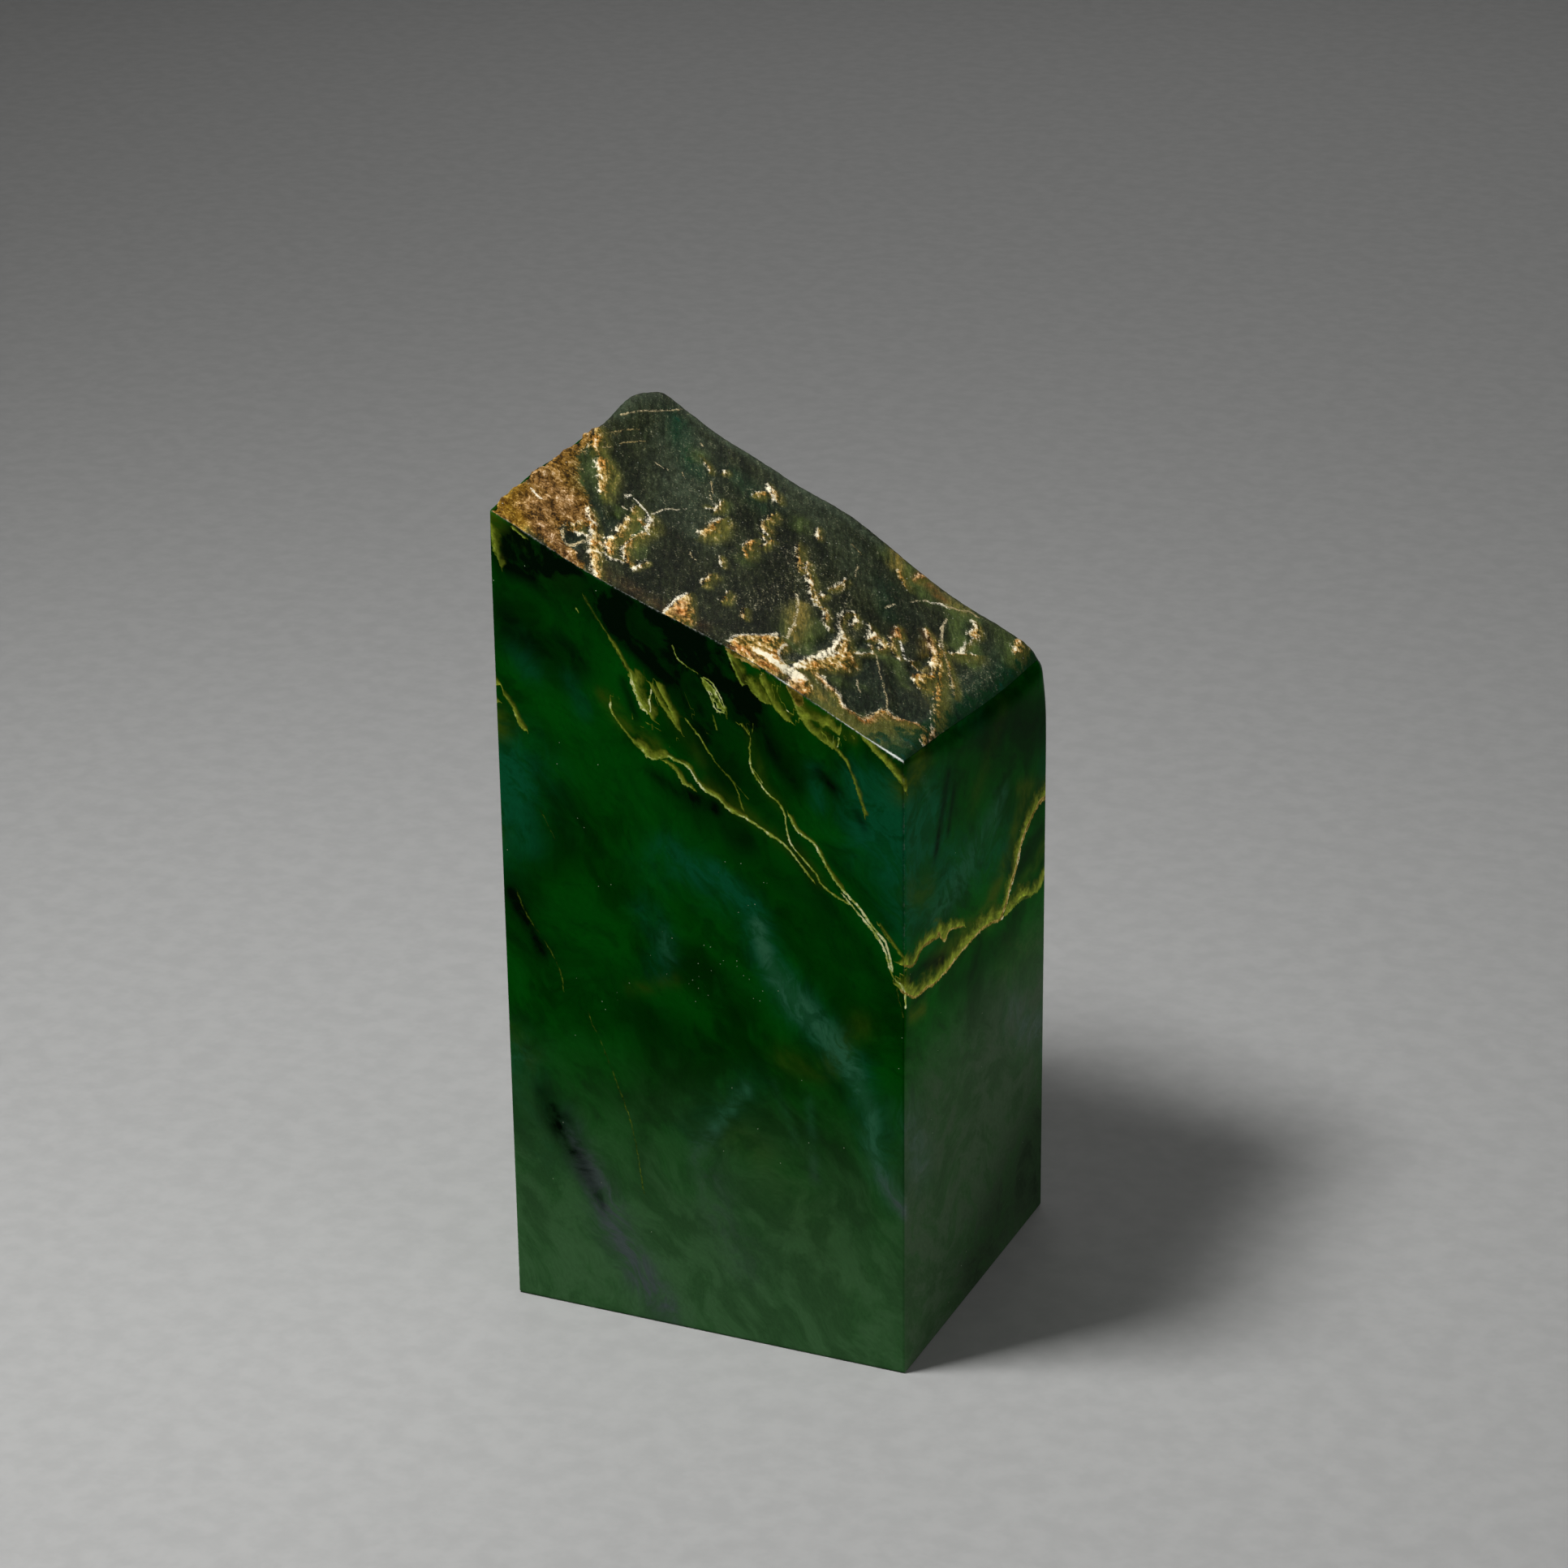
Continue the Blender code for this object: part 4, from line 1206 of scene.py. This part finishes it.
def body_colour(n, layered, fields):
    """Deep green with its clouds, whose wisps follow the stone's layers, and the painted reflection of the
    floor low in the sides.
    """
    teal, pale, dark, olive, bright, floor_reflection, face_light = fields
    broad, clouds, wisps, fine = (n.noise(layered, name) for name in ("broad", "clouds", "wisps", "fine"))
    seams = abs(n.swing(layered, "seams"))
    # The colour of the painted floor reflection: the right face has its own
    haze = n.mix(n.step(face_light, 1.4, 1.9), FRONT_FLOOR_REFLECTION, RIGHT_FLOOR_REFLECTION)
    lilac = n.mix(n.step(floor_reflection, 0.15, 0.5), PALE_CLOUD, PALE_IN_FLOOR_REFLECTION)
    green = n.mix(n.step(broad, 0.36, 0.64), DEEP_GREEN, FULL_GREEN)
    for share, colour in (
        (n.step(clouds, 0.50, 0.70) * 0.55, LIGHTER_CLOUD),
        (n.step(clouds, 0.50, 0.32) * 0.55, DARKER_CLOUD),
        (bright * 0.8, BRIGHT_CLOUD),
        (n.step(seams, 0.028, 0.0) * 0.18, SEAM_GREEN),
        (wispy(n, teal, wisps, 0.5), TEAL_CLOUD),
        (wispy(n, olive, clouds), OLIVE_CLOUD),
        # Painted reflection of the floor, torn into wisps
        (wispy(n, floor_reflection, clouds, 0.75), haze),
        (wispy(n, pale, wisps, 0.4), lilac),
        (wispy(n, dark, clouds, 0.6), DARK_CLOUD_AND_SHADOW),
    ):
        green = n.mix(share, green, colour)
    return n.lighter(green, fine * 0.9 - 0.45)


# ---------------------------------------------------------------- top

# The ways along and across the fibres of the top. A fibrous texture has the place across the fibres as its
# first direction, and these shares of the place along them as its second and third.
TOP_GRAIN = Vector((1, -2.2, 0)).normalized()
TOP_ACROSS = Vector((2.2, 1, 0)).normalized()
FIBRE_STRETCH = (0.20, 0.05)

# How far the lines of the top sway and shake, in millimetres
TOP_LINE_BEND = (1.2, 2.4)

SKIN_IOR = 1.12
SKIN_ROUGHNESS = 0.36
CRUST_ROUGHNESS = 0.62
BUMP_DEPTH = 0.6 * MM
BUMP_STRENGTH = 0.6

# Colours of the top, as linear red, green and blue
TOP_DARK = (0.007, 0.010, 0.004)
TOP_LIGHT = (0.019, 0.024, 0.009)
# A painted sheen over the top
TOP_PAINTED_SHEEN = (0.035, 0.049, 0.027)
TOP_GREEN = (0.007, 0.034, 0.014)
TOP_BLACK = (0.005, 0.007, 0.003)
TOP_OLIVE = (0.058, 0.084, 0.020)
TOP_GOLD = (0.17, 0.125, 0.024)
TOP_RUST = (0.14, 0.055, 0.012)
HOLLOW_COLOUR = (0.011, 0.018, 0.009)
AURA_COLOUR = (0.102, 0.100, 0.018)
SCRATCH_COLOUR = (0.30, 0.26, 0.15)
DULL_FLECK = (0.17, 0.15, 0.07)
PALE_FLECK = (0.42, 0.38, 0.25)
TOP_SPECK = (0.50, 0.50, 0.42)
RUBBED_GREEN = (0.0050, 0.034, 0.009)
RUBBED_TEAL = (0.0015, 0.050, 0.030)
DEEP_RUST = (0.13, 0.045, 0.008)
PALE_RUST = (0.80, 0.48, 0.20)
RED_TINT = (1.12, 0.80, 0.55)
RIND_COLOURS = (
    (0.10, (0.018, 0.011, 0.004)),
    (0.30, (0.105, 0.050, 0.006)),
    (0.52, (0.24, 0.125, 0.022)),
    (0.76, (0.44, 0.26, 0.085)),
    (0.98, (0.80, 0.60, 0.38)),
)
OLIVE_RIND = ((0.10, (0.016, 0.014, 0.003)), (0.50, (0.125, 0.098, 0.018)), (0.95, (0.52, 0.44, 0.22)))
PINK_RIND = ((0.10, (0.05, 0.022, 0.007)), (0.50, (0.26, 0.135, 0.055)), (0.95, (0.80, 0.62, 0.44)))
AMBER_RIND = ((0.10, (0.060, 0.026, 0.002)), (0.50, (0.20, 0.105, 0.008)), (0.95, (0.62, 0.42, 0.09)))
CRUST_COLOURS = (
    (0.0, (0.036, 0.040, 0.008)),
    (0.20, (0.15, 0.098, 0.014)),
    (0.42, (0.40, 0.245, 0.058)),
    (0.65, (0.65, 0.46, 0.18)),
    (0.88, (0.97, 0.88, 0.64)),
)
LINE_COLOURS = (
    (0.0, (0.10, 0.09, 0.02)),
    (0.4, (0.34, 0.25, 0.10)),
    (0.7, (0.60, 0.52, 0.33)),
    (1.0, (0.90, 0.85, 0.70)),
)


def skin():
    """The natural top: dark, fibrous and speckled, with brown rind and crusts from ochre to cream, a painted
    sheen, and painted highlights on the crusts' rims and the front edge.
    """
    n = Nodes("natural_skin")
    s = skin_values(n)
    rind, crust = rind_share(n, s), crust_share(n, s)
    colour = flecked(n, s, base_colour(n, s))
    colour = n.mix(n.step(s.wander_x * 1.3 + (s.lumps * 0.5 + s.green), 0.82, 1.0) * 0.92, colour,
                   n.mix(n.step(s.wander_y, 0.04, 0.20), RUBBED_GREEN, RUBBED_TEAL))
    colour = n.mix(rind, colour, rind_colour(n, s))
    colour = n.mix(crust, colour, crust_colour(n, s))
    line, tone, _ = line_masks(n, len(TOP_LINES), (s.wander_x, s.wander_y), s.grit, *TOP_LINE_BEND)
    bright = n.ramp((s.grit * 0.9 + tone).clamped(), LINE_COLOURS)
    colour = n.mix(line * n.step(s.grit + s.lumps, -0.12, 0.06), colour, bright)
    colour = n.mix(n.dots(s.place, 0.95, s.flecks * 0.16 + 0.05, 0.05, 0.16) * 0.7, colour, TOP_SPECK)
    # Painted highlight on the front edge of the top
    colour = n.mix(highlighted(n, s.worn, s.grit), colour, EDGE_HIGHLIGHT)
    roughness = blended(n.larger(crust, rind), s.grit * 0.4 + SKIN_ROUGHNESS, CRUST_ROUGHNESS)
    bump = n.made("ShaderNodeBump")
    inputs = bump.socket.node.inputs
    n.put(inputs["Strength"], BUMP_STRENGTH)
    n.put(inputs["Distance"], BUMP_DEPTH)
    n.put(inputs["Height"], crust * 0.5 + (s.grit * 0.8 + s.fibres * 0.7))
    n.shade(Base_Color=colour, Roughness=roughness, IOR=SKIN_IOR, Normal=bump)
    return n.material


def skin_values(n):
    """The marks that the mesh holds for the top, and the textures that break them up."""
    s = SimpleNamespace(place=n.place())
    along = n.dot(s.place, TOP_GRAIN)
    s.grained = n.join(n.dot(s.place, TOP_ACROSS), *(along * stretch for stretch in FIBRE_STRETCH))
    s.crust_in, s.crust_tone, s.crust_side, s.hollow_in = n.attribute("crust")
    s.rind_in, s.worn, _, _ = n.attribute("edges")
    s.haze, s.dark, s.olive, s.gold = n.attribute("fields_1")
    s.green, s.rust, s.cream, s.flecks = n.attribute("fields_2")
    s.wander_x, s.wander_y, _ = n.split(n.drift(s.place, "wander"))
    s.grit, s.lumps = n.swing(s.place, "grit"), n.swing(s.place, "lumps")
    s.fibres, s.bands = n.swing(s.grained, "fibres"), n.swing(s.grained, "bands")
    return s


def broken(field, source, amount):
    """The field, broken up by a texture that swings about zero."""
    return (field * (source * amount + 1.0)).clamped()


def base_colour(n, s):
    """The dark stone with its soft fields, among them a painted sheen, the hollows, and an olive glow beside
    the crusts.
    """
    base = n.mix(n.step(s.bands, -0.14, 0.14), TOP_DARK, TOP_LIGHT)
    hollow = n.step(s.hollow_in + s.wander_x * 3.0, -0.5, 0.9)
    aura = n.step(s.crust_in, -2.4, 0.4) * n.step(s.crust_side, -0.3, 0.7)
    for share, colour in (
        (broken(s.haze, s.lumps, 2.0), TOP_PAINTED_SHEEN),
        (broken(s.green, s.bands, 2.5), TOP_GREEN),
        (broken(s.dark, s.lumps, 3.0), TOP_BLACK),
        (broken(s.olive, s.bands, 3.0), TOP_OLIVE),
        (broken(s.gold, s.fibres, 4.0), TOP_GOLD),
        (broken(s.rust, s.lumps, 4.0), TOP_RUST),
        (hollow * (s.olive * -0.7 + 0.9), HOLLOW_COLOUR),
        (broken(aura, s.bands, 3.0) * 0.8, AURA_COLOUR),
    ):
        base = n.mix(share, base, colour)
    return base


def flecked(n, s, base):
    """The base with its fibres, which are calmer in the painted sheen and the green and olive fields, and
    with fine scratches and flecks."""
    calm = n.larger(s.haze * 0.45, n.larger(s.green, s.olive) * 0.4)
    detail = s.fibres * 6.0 + (s.grit * 3.4 + s.lumps * 2.0)
    base = n.lighter(base, detail * (1.0 - calm))
    scratches = n.step(abs(n.swing(s.grained, "scratches")), 0.016, 0.0) * n.step(s.lumps + s.grit, 0.0, 0.18)
    base = n.mix(scratches * (s.flecks * 0.35 + 0.22), base, SCRATCH_COLOUR)
    grains = n.step(s.flecks * 0.09 + (s.fibres * 0.45 + s.grit), 0.14, 0.22)
    return n.mix(grains * 0.75, base, n.mix(n.step(s.lumps, -0.1, 0.1), DULL_FLECK, PALE_FLECK))


def rind_share(n, s):
    """Where the brown rind lies, with a ragged edge."""
    return n.step(s.rind_in + s.wander_y * 8.0 + (s.grit * 6.0 + s.lumps * 7.0), -0.6, 0.8)


def rind_colour(n, s):
    """Brown with paler crumbs and thin ridges, turned olive, pink or amber by the soft fields."""
    shade = s.lumps * 1.5 + (s.grit * 1.2 + (s.fibres * 0.6 + 0.32))
    shade = shade + (n.step(abs(n.swing(s.place, "ridges")), 0.05, 0.0) * 0.26 + s.wander_x * 0.9)
    shade = (s.cream * 0.32 + shade).clamped()
    brown = n.ramp(shade, RIND_COLOURS)
    tinted = (s.olive, 2.0, OLIVE_RIND), (s.rust, 2.0, PINK_RIND), (s.gold, 1.0, AMBER_RIND)
    for field, amount, stops in tinted:
        brown = n.mix(broken(field, s.lumps, amount), brown, n.ramp(shade, stops))
    return brown


def crust_depth(s):
    """How far inside a crust a place lies, with the crust's edge torn by the textures."""
    return s.crust_in + (s.fibres * 6.5 + (s.grit * 4.5 + s.lumps * 5.0))


def crust_share(n, s):
    """Where the crusts lie. They thin out on the side on which they fade."""
    return n.step(crust_depth(s), -0.55, 1.3) * (n.step(s.crust_side, 0.2, 2.0) * -0.7 + 1.0)


def crust_colour(n, s):
    """Ochre to nearly white, palest on the crust's sharp rim where a highlight is painted, and turned rusty
    or reddish in places.
    """
    # Painted highlight: the rim on the crust's lit side is made paler
    rim = n.step(crust_depth(s), 1.6, 0.2) * n.step(s.crust_side, 0.3, -0.5)
    shade = rim * 0.26 + s.crust_tone - n.larger(s.crust_side, 0.0) * 0.20
    shade = shade + (s.grit * 0.8 + s.fibres * 1.8) + (s.lumps * 2.8 - 0.06)
    shade = (s.cream * 0.95 + shade).clamped()
    rusty = (broken(s.rust, s.lumps, 2.0) * (s.cream * -0.7 + 0.8)).clamped()
    pale = n.mix(rusty, n.ramp(shade, CRUST_COLOURS), n.mix(shade, DEEP_RUST, PALE_RUST))
    reddish = n.step(s.wander_y, -0.02, 0.14) * n.step(shade, 0.95, 0.55)
    return n.mix(reddish, pale, n.mix(1.0, pale, RED_TINT, "MULTIPLY"))


# ---------------------------------------------------------------- scene

CAMERA_PITCH = math.radians(23.0)
CAMERA_YAW = math.radians(23.96)
CAMERA_ROLL = math.radians(-0.72)
CAMERA_LENS = 102.45
CAMERA_SENSOR = 36.0

# The camera's distance and its aim, in widths of the block
CAMERA_DISTANCE = 10.885
CAMERA_OFF_RIGHT = 0.00185
CAMERA_OFF_UP = -1.12996

FLOOR_RADIUS = 9.0
FLOOR_SIDES = 64
FLOOR_ROUGHNESS = 0.85
FLOOR_LEVEL = 0.2
FLOOR_DARK = (0.405, 0.405, 0.398)
FLOOR_LIGHT = (0.44, 0.44, 0.432)

# Soft square lights that face the block: a direction, a distance and a size in metres, and a power in watts
LAMPS = {
    "key": ((-0.30, -0.32, 0.90), 1.0, 0.25, 12.0),
    "fill_right": ((0.9, -0.1, 0.55), 2.2, 1.6, 6.0),
    "fill_back": ((-0.3, 0.9, 0.6), 2.2, 1.6, 5.0),
}
LAMP_AIM = 0.6  # as a share of the block's height
AMBIENT = 0.055


def camera():
    forward = Vector((-math.sin(CAMERA_YAW) * math.cos(CAMERA_PITCH),
                      math.cos(CAMERA_YAW) * math.cos(CAMERA_PITCH), -math.sin(CAMERA_PITCH)))
    level = Vector((math.cos(CAMERA_YAW), math.sin(CAMERA_YAW), 0))
    upward = level.cross(forward)
    right = math.cos(CAMERA_ROLL) * level + math.sin(CAMERA_ROLL) * upward
    up = math.cos(CAMERA_ROLL) * upward - math.sin(CAMERA_ROLL) * level
    place = CAMERA_DISTANCE * forward + CAMERA_OFF_RIGHT * right + CAMERA_OFF_UP * up
    data = bpy.data.cameras.new("camera")
    data.lens = CAMERA_LENS
    data.sensor_width = CAMERA_SENSOR
    made = bpy.data.objects.new("camera", data)
    turn = Matrix((right, up, -forward)).transposed().to_4x4()
    made.matrix_world = Matrix.Translation(place * (LOW.x - HIGH.x)) @ turn
    bpy.context.scene.collection.objects.link(made)
    bpy.context.scene.camera = made


def floor():
    n = Nodes("floor")
    speckle = n.step(n.noise(n.place(), "floor"), 0.3, 0.7)
    n.shade(Base_Color=n.mix(speckle, FLOOR_DARK, FLOOR_LIGHT), Roughness=FLOOR_ROUGHNESS,
            Specular_IOR_Level=FLOOR_LEVEL)
    mesh = bpy.data.meshes.new("floor")
    turns = [math.tau * number / FLOOR_SIDES for number in range(FLOOR_SIDES)]
    ring = [(FLOOR_RADIUS * math.cos(turn), FLOOR_RADIUS * math.sin(turn), LOW.z) for turn in turns]
    mesh.from_pydata(ring, [], [list(range(FLOOR_SIDES))])
    mesh.materials.append(n.material)
    made = bpy.data.objects.new("floor", mesh)
    bpy.context.scene.collection.objects.link(made)


def lights():
    for name, (towards, distance, size, power) in LAMPS.items():
        data = bpy.data.lights.new(name, "AREA")
        data.size = size
        data.energy = power
        made = bpy.data.objects.new(name, data)
        way = Vector(towards).normalized()
        made.location = Vector((0, 0, LAMP_AIM * HIGH.z)) + way * distance
        made.rotation_euler = way.to_track_quat("Z", "Y").to_euler()
        bpy.context.scene.collection.objects.link(made)
    world = bpy.data.worlds.new("world")
    world.use_nodes = True
    background = world.node_tree.nodes["Background"]
    background.inputs["Color"].default_value = (AMBIENT, AMBIENT, AMBIENT, 1)
    background.inputs["Strength"].default_value = 1.0
    bpy.context.scene.world = world


def main():
    bpy.context.scene.view_settings.view_transform = "Standard"
    camera()
    floor()
    lights()
    block = block_surface()
    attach(block, "root")
    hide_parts("jade_block")


main()
